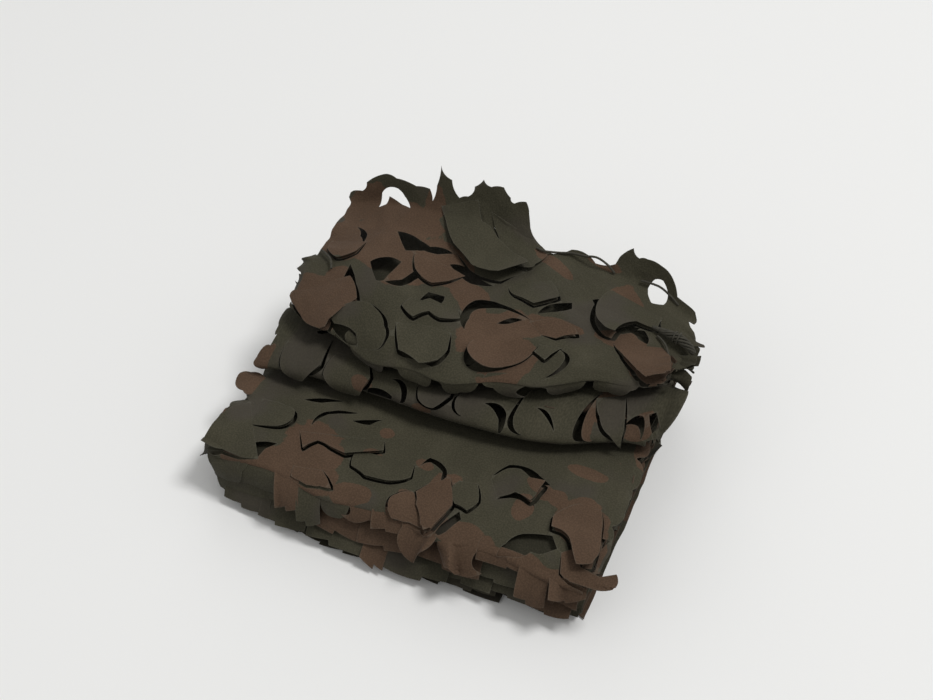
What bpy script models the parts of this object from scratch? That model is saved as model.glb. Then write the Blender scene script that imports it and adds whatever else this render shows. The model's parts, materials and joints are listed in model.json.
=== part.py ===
"""A camouflage net, leaf-cut cloth on a cord net, folded back and forth into a bundle.

The garnish cloth is one long strip.  It is laid out flat, with ragged edges and with leaf tongues
cut through it, and then folded: nine plies make a flat pad, four make a soft roll on the back of
the pad, and four make the upper layer, whose free edge stands up behind.  The pieces of the cord
net that come out of the cloth are separate.  Metres, +Z up, +X along the front edge.
"""

import math

import bpy
import numpy as np
from mathutils import Vector, geometry

# Driving dimensions
WIDTH = 0.42  # cloth, edge to edge, along X
CLOTH = 0.002  # garnish cloth with the net laid in it
PAD_HEIGHT = 0.066  # middle of the pad's top ply
ROLL_HEIGHT = 0.100  # middle of the roll's top ply
STANDING = 0.085  # tallest leaf of the free edge that stands up
PAD_GAP = 0.009  # between the pad and the roll
ROLL_GAP = 0.006  # between the roll and the upper layer
PAD_LIP = 0.009  # how far the pad's top ply sinks at its front turn
LIP_REACH = 0.014  # and how far behind it the sinking reaches
ORIGIN = np.array([0.0, 0.1684, 0.0])  # the middle of the outline, on the floor

# Plies are numbered from the floor along the strip.  An even ply runs back and an odd one forward.
PAD_TOP, ROLL_LOW, ROLL_TOP, UPPER_LOW, TOP = 8, 9, 10, 13, 16
PLIES = TOP + 1

# For each ply: how far its front and back turns are set in from the bundle's outline, in mm
FRONT_SET = [3, 6, 6, 1, 1, 8, 8, 0, 0, 18, 12, 36, 36, 24, 24, 3, 3]
BACK_SET = [5, 5, 10, 10, 4, 4, 9, 9, 3, 3, 30, 30, 14, 14, 22, 22, 8]
# For each ply: its place in its group's height, in parts of 24
SHARE = [0, 3, 6, 9, 12, 15, 18, 21, 24, 0, 24, 16, 8, 0, 8, 16, 24]

# Lines of the bundle seen from above: rows of x and y
FRONT_LINE = [(-0.21, 0.012), (-0.10, 0.004), (0.0, 0.0), (0.10, -0.003), (0.21, -0.006)]
VALLEY_LINE = [(-0.21, 0.122), (-0.10, 0.124), (0.0, 0.120), (0.10, 0.131), (0.21, 0.176)]
CREASE_LINE = [
    (-0.21, 0.176), (-0.11, 0.141), (-0.04, 0.130), (0.03, 0.140), (0.11, 0.174), (0.21, 0.219),
]
BACK_LINE = [(-0.21, 0.322), (-0.08, 0.332), (0.06, 0.334), (0.21, 0.316)]
# Heights of the top ply at its front turn and at its back: rows of x and z
CREASE_HEIGHT = [(-0.21, 0.122), (-0.10, 0.118), (0.0, 0.120), (0.10, 0.122), (0.21, 0.118)]
BACK_HEIGHT = [
    (-0.21, 0.158), (-0.12, 0.172), (-0.04, 0.168), (0.03, 0.152), (0.12, 0.150), (0.21, 0.130),
]
# How far the standing edge leans back, in metres for each metre up
EDGE_LEAN = [(-0.21, 0.1), (-0.13, 0.0), (-0.09, 0.1), (-0.02, 0.25), (0.05, 0.3), (0.21, 0.1)]
RISE_RADIUS = 0.012  # of the turn into the standing edge
# Beyond this the cloth at the sides hangs over the bundle's edge, most in the plies on top
OVERHANG_FROM = 0.198
OVERHANG_RADIUS = 0.014
HANGS = [0, 0, 0, 0, 0, 0, 0, 0, 0.7, 0, 0, 0, 0, 0, 0, 0, 1]
DRIFT = 0.004  # how far the plies shift sideways over each other
# Soft hills and troughs of the two plies that show: rows of x, y, reach and height
PAD_FOLDS = [(-0.15, 0.07, 0.05, 0.003), (0.02, 0.06, 0.06, -0.003), (0.15, 0.09, 0.05, 0.003)]
TOP_FOLDS = [(-0.13, 0.24, 0.05, 0.008), (-0.03, 0.27, 0.035, -0.010), (0.05, 0.24, 0.04, 0.006)]

# The cords of the net that come out of the cloth
CORD_RADIUS = 0.0013
CORD_STEP = 0.006  # between points along a cord
# Each cord's route: rows of u, place behind the top ply's front turn, and height above the cloth,
# in mm
NET_CORDS = {
    "net_strand_top": [(20, 197, 0.6), (30, 193, 3), (44, 197, 1), (60, 201, 1), (76, 203, 4),
                       (92, 210, 7), (104, 206, 3), (112, 199, 0.6)],
    "net_strand_arch": [(141, 204, 0.6), (150, 206, 1.2), (163, 208, 1.5), (176, 205, 1.2),
                        (186, 200, 0.6)],
    "net_strand_side": [(178, 108, 0.8), (184, 100, 2), (189, 90, 2.5), (193, 78, 1.5), (196, 68, 0.8)],
    "net_strand_left": [(-196, 92, 0.8), (-186, 86, 2), (-176, 78, 2), (-170, 66, 0.8)],
}
# The twisted bunch at the right end: its route, and its radius along it in mm
HANK_ROUTE = [(170, 121, 1), (181, 118, 1.5), (191, 113, 2), (200, 108, 2.5), (207, 104, 3), (212, 101, 5)]
HANK_RADII = [2.0, 3.4, 4.8, 5.2, 4.6, 3.2]
HANK_SIDES, HANK_STEPS = 12, 14
HANK_LOBES, HANK_TURNS, HANK_RIDGE = 3, 0.9, 0.2

# Leaf lobes along the two sides
LOBE_REACH = 0.009
LOBE_PITCH = 0.068
LOBE_SHAPE = [(0, 0), (0.3, 1), (0.7, 0.85)]  # rows of part of the pitch and part of the reach
SIDE = WIDTH / 2 - LOBE_REACH  # from the middle to the notches between the lobes
LAST_LOBE = 0.012  # how far the sides go on along the standing edge
# Larger lobes: rows of side, ply, place behind the front turn, half width and reach, in mm
LARGE_LOBES = [
    (-1, 6, 14, 17, 15),
    (-1, 7, 64, 12, 14),
    (-1, 8, 14, 22, 15),
    (-1, 9, 30, 19, 20),
    (1, 6, 2, 9, 14),
    (1, 9, 20, 14, 10),
    (1, 16, 120, 24, 8),
]

# Top of the standing edge: rows of u and height above the last ply, in mm
SKYLINE = [
    (-206, 24), (-188, 26), (-183, 36), (-161, 47), (-124, 37), (-107, 37), (-103, 22), (-99, 40),
    (-95, 68), (-84, 52), (-75, 31), (-66, 34), (-60, 47), (-51, 57), (-42, 51), (-28, 56), (-14, 45),
    (-1, 53), (4, 42), (8, 28), (25, 11), (40, 4), (57, 15), (74, 16), (88, 10), (110, 20), (113, 30),
    (126, 45), (134, 37), (160, 41), (176, 33), (183, 19), (205, 18),
]

# Cuts.  Each is an arc with its tongue inside it.  Rows of ply, u, place behind the ply's front
# turn (below zero is on the turn), radius, half angle of the arc, the way from the middle to the
# arc's middle (0 is to +u, 90 to the back), widest gap, and how far the tongue curls up
PAD_CUTS = [
    (8, -167, 59, 25, 115, 20, 3, 6),
    (8, -93, 66, 34, 55, 141, 2.5, 4),
    (8, -80, 112, 24, 27, -65, 2.5, 0),
    (8, -110, 74, 37, 27, 117, 3, 0),
    (8, -152, 3, 20, 50, 122, 5, 0),
    (8, -101, 33, 14, 62, 121, 3, 0),
    (8, -91, 151, 108, 16, -75, 3, 0),
    (8, 19, 10, 20, 95, 190, 2.5, 12),
    (8, 25, 47, 26, 48, 91, 4, 0),
    (8, 101, 73, 21, 70, 124, 4, 5),
    (8, 110, 31, 37, 31, 99, 4, 0),
    (8, 149, -5, 38, 54, 120, 7, 0),
    (8, 191, 53, 39, 30, 161, 2.5, 0),
]
ROLL_CUTS = [
    (10, -150, -12, 11, 85, -20, 8, 0),
    (10, -95, -20, 15, 78, -40, 3, 6),
    (10, -21, -18, 18, 95, 24, 6, 0),
    (10, 27, -12, 12, 90, -171, 4, 8),
    (10, 54, -27, 18, 76, 38, 7, 0),
    (10, 93, -14, 17, 75, -165, 4, 8),
    (10, 99, -38, 27, 32, 61, 2.5, 0),
    (10, 155, -18, 17, 95, -165, 7, 8),
    (10, 194, -27, 11, 85, 59, 3, 8),
]
TOP_CUTS = [
    (16, -116, 24, 29, 80, -55, 5, 12),
    (16, -43, 18, 31, 92, 15, 6, 10),
    (16, 39, 38, 32, 98, -100, 3, 12),
    (16, 86, 27, 22, 78, 5, 4, 12),
    (16, 188, 46, 38, 52, -142, 3.5, 0),
    (16, 166, 88, 25, 62, 102, 13, 0),
    (16, 135, 84, 22, 45, -80, 2.5, 0),
    (16, 13, 78, 26, 58, 150, 8, 0),
    (16, 136, 65, 79, 20, 150, 7, 0),
    (16, 103, 50, 21, 33, 122, 3, 0),
    (16, -51, 77, 16, 50, 113, 4, 0),
    (16, -100, 20, 58, 16, 55, 3, 0),
    (16, -186, 16, 65, 20, 50, 5, 0),
    (16, -188, 69, 8, 75, 112, 7, 0),
    (16, -113, 92, 16, 58, 110, 7, 0),
    (16, -75, 109, 15, 60, 140, 6, 0),
    (16, 8, 215, 88, 17, -115, 7, 0),
    (16, -68, 131, 22, 36, 119, 7, 0),
    (16, -102, 135, 30, 42, 96, 9, 0),
    (16, -211, 127, 63, 30, 31, 5, 0),
    (16, -11, 154, 15, 50, 109, 6, 0),
    (16, 130, 178, 21, 55, 157, 6, 0),
    (16, -150, 200, 20, 72, 90, 15, 0),
    (16, 163, 200, 16, 72, 84, 13, 0),
]
# Tongues that hang over the pad's front from its fold edges: rows of ply, u, radius and curl
FRONT_TONGUES = [
    (8, -174, 18, -44), (8, -132, 18, -52), (8, -82, 18, -44), (8, -30, 19, -55), (8, 68, 20, -50),
    (8, 130, 17, -55), (8, 179, 19, -44),
    (6, -160, 16, -65), (6, -108, 16, -60), (6, -52, 15, -65), (6, 6, 18, -60), (6, 104, 17, -65),
    (6, 166, 15, -60),
    (4, -180, 13, -60), (4, -128, 16, -60), (4, -70, 17, -60), (4, 40, 18, -60), (4, 126, 16, -60),
    (2, -150, 16, -60), (2, -30, 18, -60), (2, 76, 16, -60), (2, 160, 16, -60),
]
TONGUE_PLACE = -1  # of a front tongue's middle, behind the front turn
TONGUE_HALF = 118
TONGUE_GAP = 3
NOTCH = 0.0014  # least gap beside a tongue, at its hinge
FIRST_TEETH = 14  # of the strip's first edge, under the pad
FIRST_REACH = 0.010  # how deep they are cut

# How finely the cloth is faceted
ARC_STEP = 0.0145  # along a cut
CLEAR = 0.005  # least distance of a point from an edge
MERGE = 0.0003  # points and edges nearer than this are one
FINE, COARSE = 14, 7  # columns where the cloth shows and where it doesn't
PLY_ROWS = {  # rows behind a ply's front turn where it shows, in mm
    8: [5, 12, 22, 36, 54, 76, 100, 124],
    9: [12],
    10: [8, 20],
    15: [14],
    16: [5, 11, 19, 30, 46, 66, 90, 115, 140, 165, 182],
}
TURN_STEPS = {9: 8, 12: 5}  # others: 3 at the back and 4 at the front
TURN_COLUMNS = [7, 9, 15]
STANDING_ROWS = [0, 4, 9, 16, 28, 42]


def through(x, rows):
    """The smooth curve through rows of x and value, flat beyond its ends."""
    knots, values = np.array(rows, float).T
    slopes = np.gradient(values, knots)
    i = np.clip(np.searchsorted(knots, x) - 1, 0, len(knots) - 2)
    step = knots[i + 1] - knots[i]
    t = np.clip((x - knots[i]) / step, 0, 1)
    rising = t * t * (3 - 2 * t)
    bend = step * t * (1 - t) * ((1 - t) * slopes[i] - t * slopes[i + 1])
    return values[i] + rising * (values[i + 1] - values[i]) + bend


def hills(x, y, rows):
    """The height that soft round hills add at x, y."""
    return sum(high * np.exp(-((x - at_x) ** 2 + (y - at_y) ** 2) / reach**2)
               for at_x, at_y, reach, high in rows)


def front_y(ply, x):
    """Where a ply turns at its front."""
    line = np.where(ply < ROLL_LOW, through(x, FRONT_LINE), through(x, CREASE_LINE))
    low_roll = (ply >= ROLL_LOW) & (ply < UPPER_LOW) & (ply != ROLL_TOP)
    line = np.where(low_roll, through(x, VALLEY_LINE), line)
    pair = (ply + 1) // 2
    wander = 0.003 * np.sin(x * (31 + 5 * pair) + 2.1 * pair)
    return line + np.array(FRONT_SET)[ply] / 1000 + wander


def back_y(ply, x):
    """Where a ply turns at its back."""
    pair = ply // 2
    wander = 0.003 * np.sin(x * (27 + 4 * pair) + 1.3 * pair)
    return through(x, BACK_LINE) - np.array(BACK_SET)[ply] / 1000 + wander


def pad_top(x, y):
    """Height of the pad's top ply: level, with soft hills and a rounded front edge."""
    behind = np.maximum(y - through(x, FRONT_LINE), 0)
    return PAD_HEIGHT + hills(x, y, PAD_FOLDS) - PAD_LIP * np.exp(-behind / LIP_REACH)


def top_ply(x, y):
    """Height of the upper layer: steep behind its front turn and then rising to the back."""
    low, high = through(x, CREASE_HEIGHT), through(x, BACK_HEIGHT)
    crease, back = through(x, CREASE_LINE), through(x, BACK_LINE)
    behind = np.maximum(y - crease, 0)
    rise = 0.35 * (1 - np.exp(-behind / 0.018)) + 0.65 * behind / (back - crease)
    return low + (high - low) * rise + hills(x, y, TOP_FOLDS)


def height(ply, x, y):
    """Height of the middle of a ply."""
    share = np.array(SHARE)[ply] / 24
    pad = pad_top(x, y)
    roll_top = ROLL_HEIGHT + 0.010 * np.maximum(y - 0.20, 0)
    floor_ply = CLOTH / 2
    in_pad = floor_ply + share * (pad - floor_ply)
    in_roll = pad + PAD_GAP + share * (roll_top - pad - PAD_GAP)
    in_upper = roll_top + ROLL_GAP + share * (top_ply(x, y) - roll_top - ROLL_GAP)
    return np.where(ply < ROLL_LOW, in_pad, np.where(ply < UPPER_LOW, in_roll, in_upper))


def stretch_lengths():
    """Lengths along the strip: a ply, its turn, the next ply, and so on, and the standing edge."""
    lengths = []
    for ply in range(PLIES):
        index = np.array([ply])
        middle = np.zeros(1)
        lengths.append(float(back_y(index, middle)[0] - front_y(index, middle)[0]))
        if ply < TOP:
            turn = np.array([fold_point(ply, t, 0.0) for t in np.linspace(0, 1, 13)])
            lengths.append(float(np.linalg.norm(np.diff(turn, axis=0), axis=1).sum()))
    return lengths + [STANDING]


def fold_point(ply, t, x):
    """y and z in the turn that leads from a ply to the next, t from 0 to 1."""
    y, z = fold(np.array([ply]), np.array([t]), np.array([x]))
    return float(y[0]), float(z[0])


def fold(ply, t, x):
    """A turn is half an oval between the ends of two plies; the roll's is pushed to the valley."""
    following = ply + 1
    at_back = ply % 2 == 0
    start = np.where(at_back, back_y(ply, x), front_y(ply, x))
    end = np.where(at_back, back_y(following, x), front_y(following, x))
    low, high = height(ply, x, start), height(following, x, end)
    bulge = np.maximum(0.55 * np.abs(high - low), 0.0025)
    nose = (start + end) / 2 - through(x, VALLEY_LINE) + 0.003
    bulge = np.where(ply == ROLL_LOW, nose, bulge)
    bulge = np.where(ply == ROLL_LOW + 3, 0.014, bulge)
    part = (1 - np.cos(np.pi * t)) / 2
    out = np.where(at_back, 1, -1) * bulge * np.sin(np.pi * t)
    return start + (end - start) * part + out, low + (high - low) * part


LENGTHS = stretch_lengths()
STARTS = np.concatenate([[0.0], np.cumsum(LENGTHS)])


def along(ply, behind):
    """Place along the strip that is so far behind a ply's front turn."""
    start = STARTS[2 * ply]
    return start + behind if ply % 2 == 0 else start + LENGTHS[2 * ply] - behind


def lay(u, s):
    """Middle of the folded cloth at flat places: u across the strip and s along it."""
    stretch = np.clip(np.searchsorted(STARTS, s, side="right") - 1, 0, len(LENGTHS) - 1)
    t = (s - STARTS[stretch]) / np.array(LENGTHS)[stretch]
    ply = stretch // 2
    drift = DRIFT * np.sin(s * 2.9 + 1.0)
    side = np.sign(u) * np.maximum(np.abs(u) - OVERHANG_FROM, 0)
    arc = side / OVERHANG_RADIUS
    hangs = np.array(HANGS)[ply]
    x = u + drift + hangs * (OVERHANG_RADIUS * np.sin(arc) - side)
    forward = ply % 2 == 1
    part = np.where(forward, 1 - t, t)
    is_turn = (stretch % 2 == 1) & (ply < TOP)
    part = np.where(stretch == len(LENGTHS) - 1, 1.0, part)
    front, back = front_y(ply, x), back_y(ply, x)
    on_ply = front + (back - front) * np.clip(part, 0, 1)
    turn_y, turn_z = fold(np.minimum(ply, TOP - 1), np.clip(t, 0, 1), x)
    y = np.where(is_turn, turn_y, on_ply)
    z = np.where(is_turn, turn_z, height(ply, x, on_ply))
    # The free edge beyond the last ply turns up and stands
    up = np.maximum(s - STARTS[-2], 0)
    y = y + RISE_RADIUS * (1 - np.exp(-up / RISE_RADIUS)) + up * through(x, EDGE_LEAN)
    z = z + up - RISE_RADIUS * (1 - np.exp(-up / RISE_RADIUS))
    z = z - hangs * OVERHANG_RADIUS * (1 - np.cos(arc))
    return np.stack([x, y, z], axis=-1)



def frames(u, s):
    """Place, way across, way along and outward normal of the folded cloth at flat places."""
    step = 0.0005
    across = lay(u + step, s) - lay(u - step, s)
    onward = lay(u, s + step) - lay(u, s - step)
    across /= np.linalg.norm(across, axis=-1, keepdims=True)
    onward /= np.linalg.norm(onward, axis=-1, keepdims=True)
    normal = np.cross(across, onward)
    normal /= np.linalg.norm(normal, axis=-1, keepdims=True)
    return lay(u, s), across, onward, normal


class Cut:
    """An arc cut through the flat cloth, and the tongue inside it."""

    def __init__(self, ply, u, behind, radius, half, turn, gap, curl):
        self.middle = np.array([u / 1000, along(ply, behind / 1000)])
        self.radius, self.gap = radius / 1000, gap / 1000
        self.half, self.curl = math.radians(half), math.radians(curl)
        turn = math.radians(turn)
        self.forward = np.array([math.cos(turn), math.sin(turn)])
        self.sideways = np.array([-math.sin(turn), math.cos(turn)])
        self.hinge = self.radius * math.cos(self.half)
        self.reach = self.radius - self.gap - self.hinge
        self.notch = NOTCH if curl else 0.0
        steps = max(3, round(2 * self.radius * self.half / ARC_STEP))
        self.parts = np.linspace(-1, 1, steps + 1)
        angle = self.parts * self.half
        self.outer = self.spread(self.radius * np.cos(angle), self.radius * np.sin(angle))
        inner = self.radius - self.gap * (1 - self.parts**2)
        across = inner * np.sin(angle) - np.sign(self.parts) * self.notch
        self.inner = self.spread(inner * np.cos(angle), across)
        inner_first = self.inner[::-1] if self.notch else self.inner[-2:0:-1]
        self.hole = np.concatenate([self.outer, inner_first])

    def spread(self, ahead, across):
        """Flat places so far ahead of the middle and across from it."""
        return self.middle + np.outer(ahead, self.forward) + np.outer(across, self.sideways)

    def hinge_line(self):
        """Places along the hinge."""
        part = np.linspace(0, 1, 4)[:, None]
        return self.inner[0] + (self.inner[-1] - self.inner[0]) * part

    def tongue_span(self, s):
        """From where to where a row across the strip is on the tongue or the cut beside it."""
        inner = self.inner
        below = inner[:, 1] < s
        cross = np.nonzero(below[1:] != below[:-1])[0]
        if not self.curl or len(cross) != 2:
            return None
        part = (s - inner[cross, 1]) / (inner[cross + 1, 1] - inner[cross, 1])
        u = inner[cross, 0] + part * (inner[cross + 1, 0] - inner[cross, 0])
        return u.min() - self.gap / 4, u.max() + self.gap / 4

    def on_tongue(self, flat):
        """Which flat places are on the tongue, its edge with them and its hinge not."""
        beyond = (flat - self.middle) @ self.forward - self.hinge
        inside = is_inside(flat, self.inner) | (edge_distance(flat, self.inner, False) < 1e-5)
        return (beyond > 1e-5) & inside

    def bend(self, flat):
        """Places and normals of a tongue that leaves its hinge straight and bends evenly."""
        local = flat - self.middle
        beyond = local @ self.forward - self.hinge
        foot = self.middle + self.hinge * self.forward + np.outer(local @ self.sideways, self.sideways)
        place, across, onward, normal = frames(foot[:, 0], foot[:, 1])
        ahead = self.forward[0] * across + self.forward[1] * onward
        angle = (beyond / self.reach * self.curl)[:, None]
        beyond = beyond[:, None]
        out = place + ahead * beyond * np.sinc(angle / np.pi)
        out = out + normal * beyond * (1 - np.cos(angle)) / angle
        return out, normal * np.cos(angle) - ahead * np.sin(angle)


def is_inside(points, polygon):
    """Which points lie inside a closed polygon."""
    x, y = points[:, 0, None], points[:, 1, None]
    (x1, y1), (x2, y2) = polygon.T, np.roll(polygon, -1, axis=0).T
    rise = np.where(y2 == y1, 1e-12, y2 - y1)
    crossed = ((y1 > y) != (y2 > y)) & (x < (x2 - x1) * (y - y1) / rise + x1)
    return crossed.sum(axis=1) % 2 == 1


def edge_distance(points, polygon, closed=True):
    """Distance from each point to a polygon's edge."""
    start = polygon if closed else polygon[:-1]
    step = (np.roll(polygon, -1, axis=0) if closed else polygon[1:]) - start
    offset = points[:, None, :] - start
    part = np.clip((offset * step).sum(-1) / (step**2).sum(-1), 0, 1)
    return np.linalg.norm(offset - part[..., None] * step, axis=-1).min(axis=1)


def side_points(side):
    """Points down one side: round leaf lobes with notches between, and the larger lobes."""
    end = STARTS[-2] + LAST_LOBE
    s = np.array([(lobe + part) * LOBE_PITCH for lobe in range(int(end / LOBE_PITCH) + 1)
                  for part, _ in LOBE_SHAPE])
    share = np.array([reach for _ in range(len(s) // len(LOBE_SHAPE)) for _, reach in LOBE_SHAPE])
    reach = LOBE_REACH * share * (0.7 + 0.3 * np.sin(s * 19 + side))
    for lobe_side, ply, behind, width, far in LARGE_LOBES:
        if lobe_side == side:
            middle, width = along(ply, behind / 1000), width / 1000
            extra = middle + width * np.array([-1, -0.85, -0.45, 0, 0.45, 0.85, 1])
            keep = (s < extra[0]) | (s > extra[-1])
            lobe = far / 1000 * np.sqrt(np.maximum(1 - ((extra - middle) / width) ** 2, 0))
            order = np.argsort(np.concatenate([s[keep], extra]))
            s = np.concatenate([s[keep], extra])[order]
            reach = np.concatenate([reach[keep], lobe])[order]
    keep = (s > 0.004) & (s < end)
    return np.stack([side * (SIDE + reach[keep]), s[keep]], axis=-1)


def outline():
    """The strip's outline: ragged sides, a zigzag first edge and the skyline as the last."""
    first = [(-SIDE - 0.004, 0.0)]
    for tooth in range(FIRST_TEETH):
        middle = -SIDE + (tooth + 0.5) * 2 * SIDE / FIRST_TEETH
        first.append((middle, FIRST_REACH))
        first.append((middle + SIDE / FIRST_TEETH, 0.002 * (tooth % 3)))
    last = [(u / 1000, STARTS[-2] + up / 1000) for u, up in reversed(SKYLINE)]
    return np.concatenate([first, side_points(1), last, side_points(-1)[::-1]])


def rows():
    """Rows of points across the strip: place along it, number of columns, and if it is a fold."""
    made = []
    for ply in range(PLIES):
        for behind in PLY_ROWS.get(ply, []):
            made.append((along(ply, behind / 1000), FINE, False))
        if ply in PLY_ROWS:
            last = PLY_ROWS[ply][-1] / 1000
            rest = [last + (LENGTHS[2 * ply] - last) * part for part in (1 / 3, 2 / 3)]
            made += [(along(ply, behind), COARSE, False) for behind in rest if ply != TOP]
        else:
            start, length = STARTS[2 * ply], LENGTHS[2 * ply]
            made += [(start + length * part, COARSE, False) for part in (1 / 3, 2 / 3)]
        if ply < TOP:
            steps = TURN_STEPS.get(ply, 3 if ply % 2 == 0 else 4)
            columns = FINE if ply in TURN_COLUMNS else COARSE
            start, length = STARTS[2 * ply + 1], LENGTHS[2 * ply + 1]
            made += [(start + length * step / steps, columns, True) for step in range(steps + 1)]
    made += [(STARTS[-2] + up / 1000, FINE, up < 12) for up in STANDING_ROWS]
    return made


def flat_mesh(cuts, border):
    """Points and triangles of the flat cloth, with the cuts taken out."""
    points, edges = [], []

    def add(chain, closed):
        start = len(points)
        points.extend(map(tuple, chain))
        count = len(chain)
        steps = count if closed else count - 1
        edges.extend((start + i, start + (i + 1) % count) for i in range(steps))

    add(border, True)
    for cut in cuts:
        add(cut.hole, True)
        add(cut.hinge_line(), False)
    chains = np.concatenate([border] + [cut.hole for cut in cuts])
    for s, columns, fold in rows():
        u = np.linspace(-SIDE, SIDE, columns)
        row = np.stack([u, np.full(columns, s)], axis=-1)
        near = np.abs(chains[:, 1] - s).argsort()[:60]
        clear = np.linalg.norm(row[:, None] - chains[near], axis=-1).min(axis=1) > CLEAR
        row = row[clear & is_inside(row, border)]
        tongues = sorted(span for cut in cuts if (span := cut.tongue_span(s)))
        if fold:
            starts = [-SIDE - 0.03] + [right for _, right in tongues]
            stops = [left for left, _ in tongues] + [SIDE + 0.03]
            for start, stop in zip(starts, stops):
                between = row[(row[:, 0] > start + CLEAR) & (row[:, 0] < stop - CLEAR)]
                add(np.concatenate([[(start, s)], between, [(stop, s)]]), False)
        else:
            points.extend(map(tuple, row))
    made = geometry.delaunay_2d_cdt([Vector(p) for p in points], edges, [], 0, MERGE)
    flat = np.array([tuple(v) for v in made[0]])
    triangles = np.array(made[2])
    middles = flat[triangles].mean(axis=1)
    keep = is_inside(middles, border)
    for cut in cuts:
        keep &= ~is_inside(middles, cut.hole)
    triangles = triangles[keep]
    used, triangles = np.unique(triangles, return_inverse=True)
    return flat[used], triangles.reshape(-1, 3)


def cloth_mesh(name):
    """The folded cloth as one solid."""
    cuts = [Cut(*row) for row in PAD_CUTS + ROLL_CUTS + TOP_CUTS]
    cuts += [Cut(ply, u, TONGUE_PLACE, radius, TONGUE_HALF, -90, TONGUE_GAP, curl)
             for ply, u, radius, curl in FRONT_TONGUES]
    flat, triangles = flat_mesh(cuts, outline())
    place, _, _, normal = frames(flat[:, 0], flat[:, 1])
    for cut in cuts:
        if cut.curl:
            tongue = cut.on_tongue(flat)
            place[tongue], normal[tongue] = cut.bend(flat[tongue])
    place = place - ORIGIN
    count = len(flat)
    upper, lower = place + normal * CLOTH / 2, place - normal * CLOTH / 2
    sides = np.concatenate([triangles[:, [0, 1]], triangles[:, [1, 2]], triangles[:, [2, 0]]])
    shared = {tuple(side) for side in sides}
    rim = np.array([side for side in sides if (side[1], side[0]) not in shared])
    a, b = rim.T
    quads = np.stack([b, a, a + count, b + count], axis=-1)
    faces = triangles.tolist() + (triangles[:, ::-1] + count).tolist() + quads.tolist()
    mesh = bpy.data.meshes.new(name)
    mesh.from_pydata(np.concatenate([upper, lower]).tolist(), [], faces)
    return mesh


def smooth(values, steps):
    """Values along a smooth curve through rows of values, with so many steps in all."""
    values = np.array(values, float)
    knots = np.arange(len(values))
    where = np.linspace(0, len(values) - 1, steps + 1)
    if values.ndim == 1:
        return through(where, list(zip(knots, values)))
    return np.stack([through(where, list(zip(knots, column))) for column in values.T], axis=-1)


def on_cloth(route, radius):
    """Places of a cord's middle that lies on the top ply, or as far above it as its route says."""
    u, behind, lift = np.array(route, float).T / 1000
    place, _, _, normal = frames(u, along(TOP, 0) + behind)
    return place + normal * (CLOTH / 2 + radius + lift)[:, None] - ORIGIN


def net_cord(name, route):
    """A round cord with flat ends along a route on the cloth."""
    places = on_cloth(route, np.full(len(route), CORD_RADIUS))
    length = np.linalg.norm(np.diff(places, axis=0), axis=1).sum()
    places = smooth(places, round(length / CORD_STEP))
    curve = bpy.data.curves.new(name, "CURVE")
    curve.dimensions = "3D"
    curve.bevel_depth = CORD_RADIUS
    curve.bevel_resolution = 2
    curve.use_fill_caps = True
    spline = curve.splines.new("POLY")
    spline.points.add(len(places) - 1)
    for point, place in zip(spline.points, places):
        point.co = (*place, 1)
    return curve


def hank_mesh(name):
    """A bunch of cords twisted together: a tube with ridges that wind round it."""
    radii = np.array(HANK_RADII) / 1000
    middles = smooth(on_cloth(HANK_ROUTE, radii * (1 + HANK_RIDGE)), HANK_STEPS)
    radii = smooth(radii, HANK_STEPS)
    ahead = np.gradient(middles, axis=0)
    ahead /= np.linalg.norm(ahead, axis=1, keepdims=True)
    side = np.cross(ahead, [0, 0, 1])
    side /= np.linalg.norm(side, axis=1, keepdims=True)
    above = np.cross(side, ahead)
    angle = np.linspace(0, 2 * np.pi, HANK_SIDES, endpoint=False)
    twist = np.linspace(0, 2 * np.pi * HANK_TURNS, HANK_STEPS + 1)[:, None]
    radius = radii[:, None] * (1 + HANK_RIDGE * np.cos(HANK_LOBES * (angle + twist)))
    across = (radius * np.cos(angle))[..., None] * side[:, None]
    rings = middles[:, None] + across + (radius * np.sin(angle))[..., None] * above[:, None]
    index = np.arange(rings.shape[0] * HANK_SIDES).reshape(-1, HANK_SIDES)
    following = np.roll(index, -1, axis=1)
    walls = np.stack([index[:-1], index[1:], following[1:], following[:-1]], axis=-1).reshape(-1, 4)
    faces = walls.tolist() + [index[0].tolist(), index[-1][::-1].tolist()]
    mesh = bpy.data.meshes.new(name)
    mesh.from_pydata(rings.reshape(-1, 3).tolist(), [], faces)
    return mesh


def material(name, color, roughness):
    """A plain finish: colour and roughness, no metal."""
    finish = bpy.data.materials.new(name)
    finish.use_nodes = True
    shader = finish.node_tree.nodes["Principled BSDF"]
    shader.inputs["Base Color"].default_value = (*color, 1)
    shader.inputs["Roughness"].default_value = roughness
    shader.inputs["Metallic"].default_value = 0
    return finish


def place_object(name, data, finish):
    """One named piece in the scene, with its finish."""
    data.materials.append(finish)
    made = bpy.data.objects.new(name, data)
    bpy.context.scene.collection.objects.link(made)


def main():
    for old in list(bpy.data.objects):
        bpy.data.objects.remove(old, do_unlink=True)
    cloth_finish = material("garnish_cloth", (0.058, 0.052, 0.036), 0.85)
    place_object("garnish_cloth", cloth_mesh("garnish_cloth"), cloth_finish)
    for name, route in NET_CORDS.items():
        place_object(name, net_cord(name, route), material(name, (0.10, 0.095, 0.07), 0.8))
    place_object("net_hank", hank_mesh("net_hank"), material("net_hank", (0.07, 0.065, 0.045), 0.85))


main()
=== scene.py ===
import json
import math

import bpy
import numpy as np
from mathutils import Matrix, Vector, geometry

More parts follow.
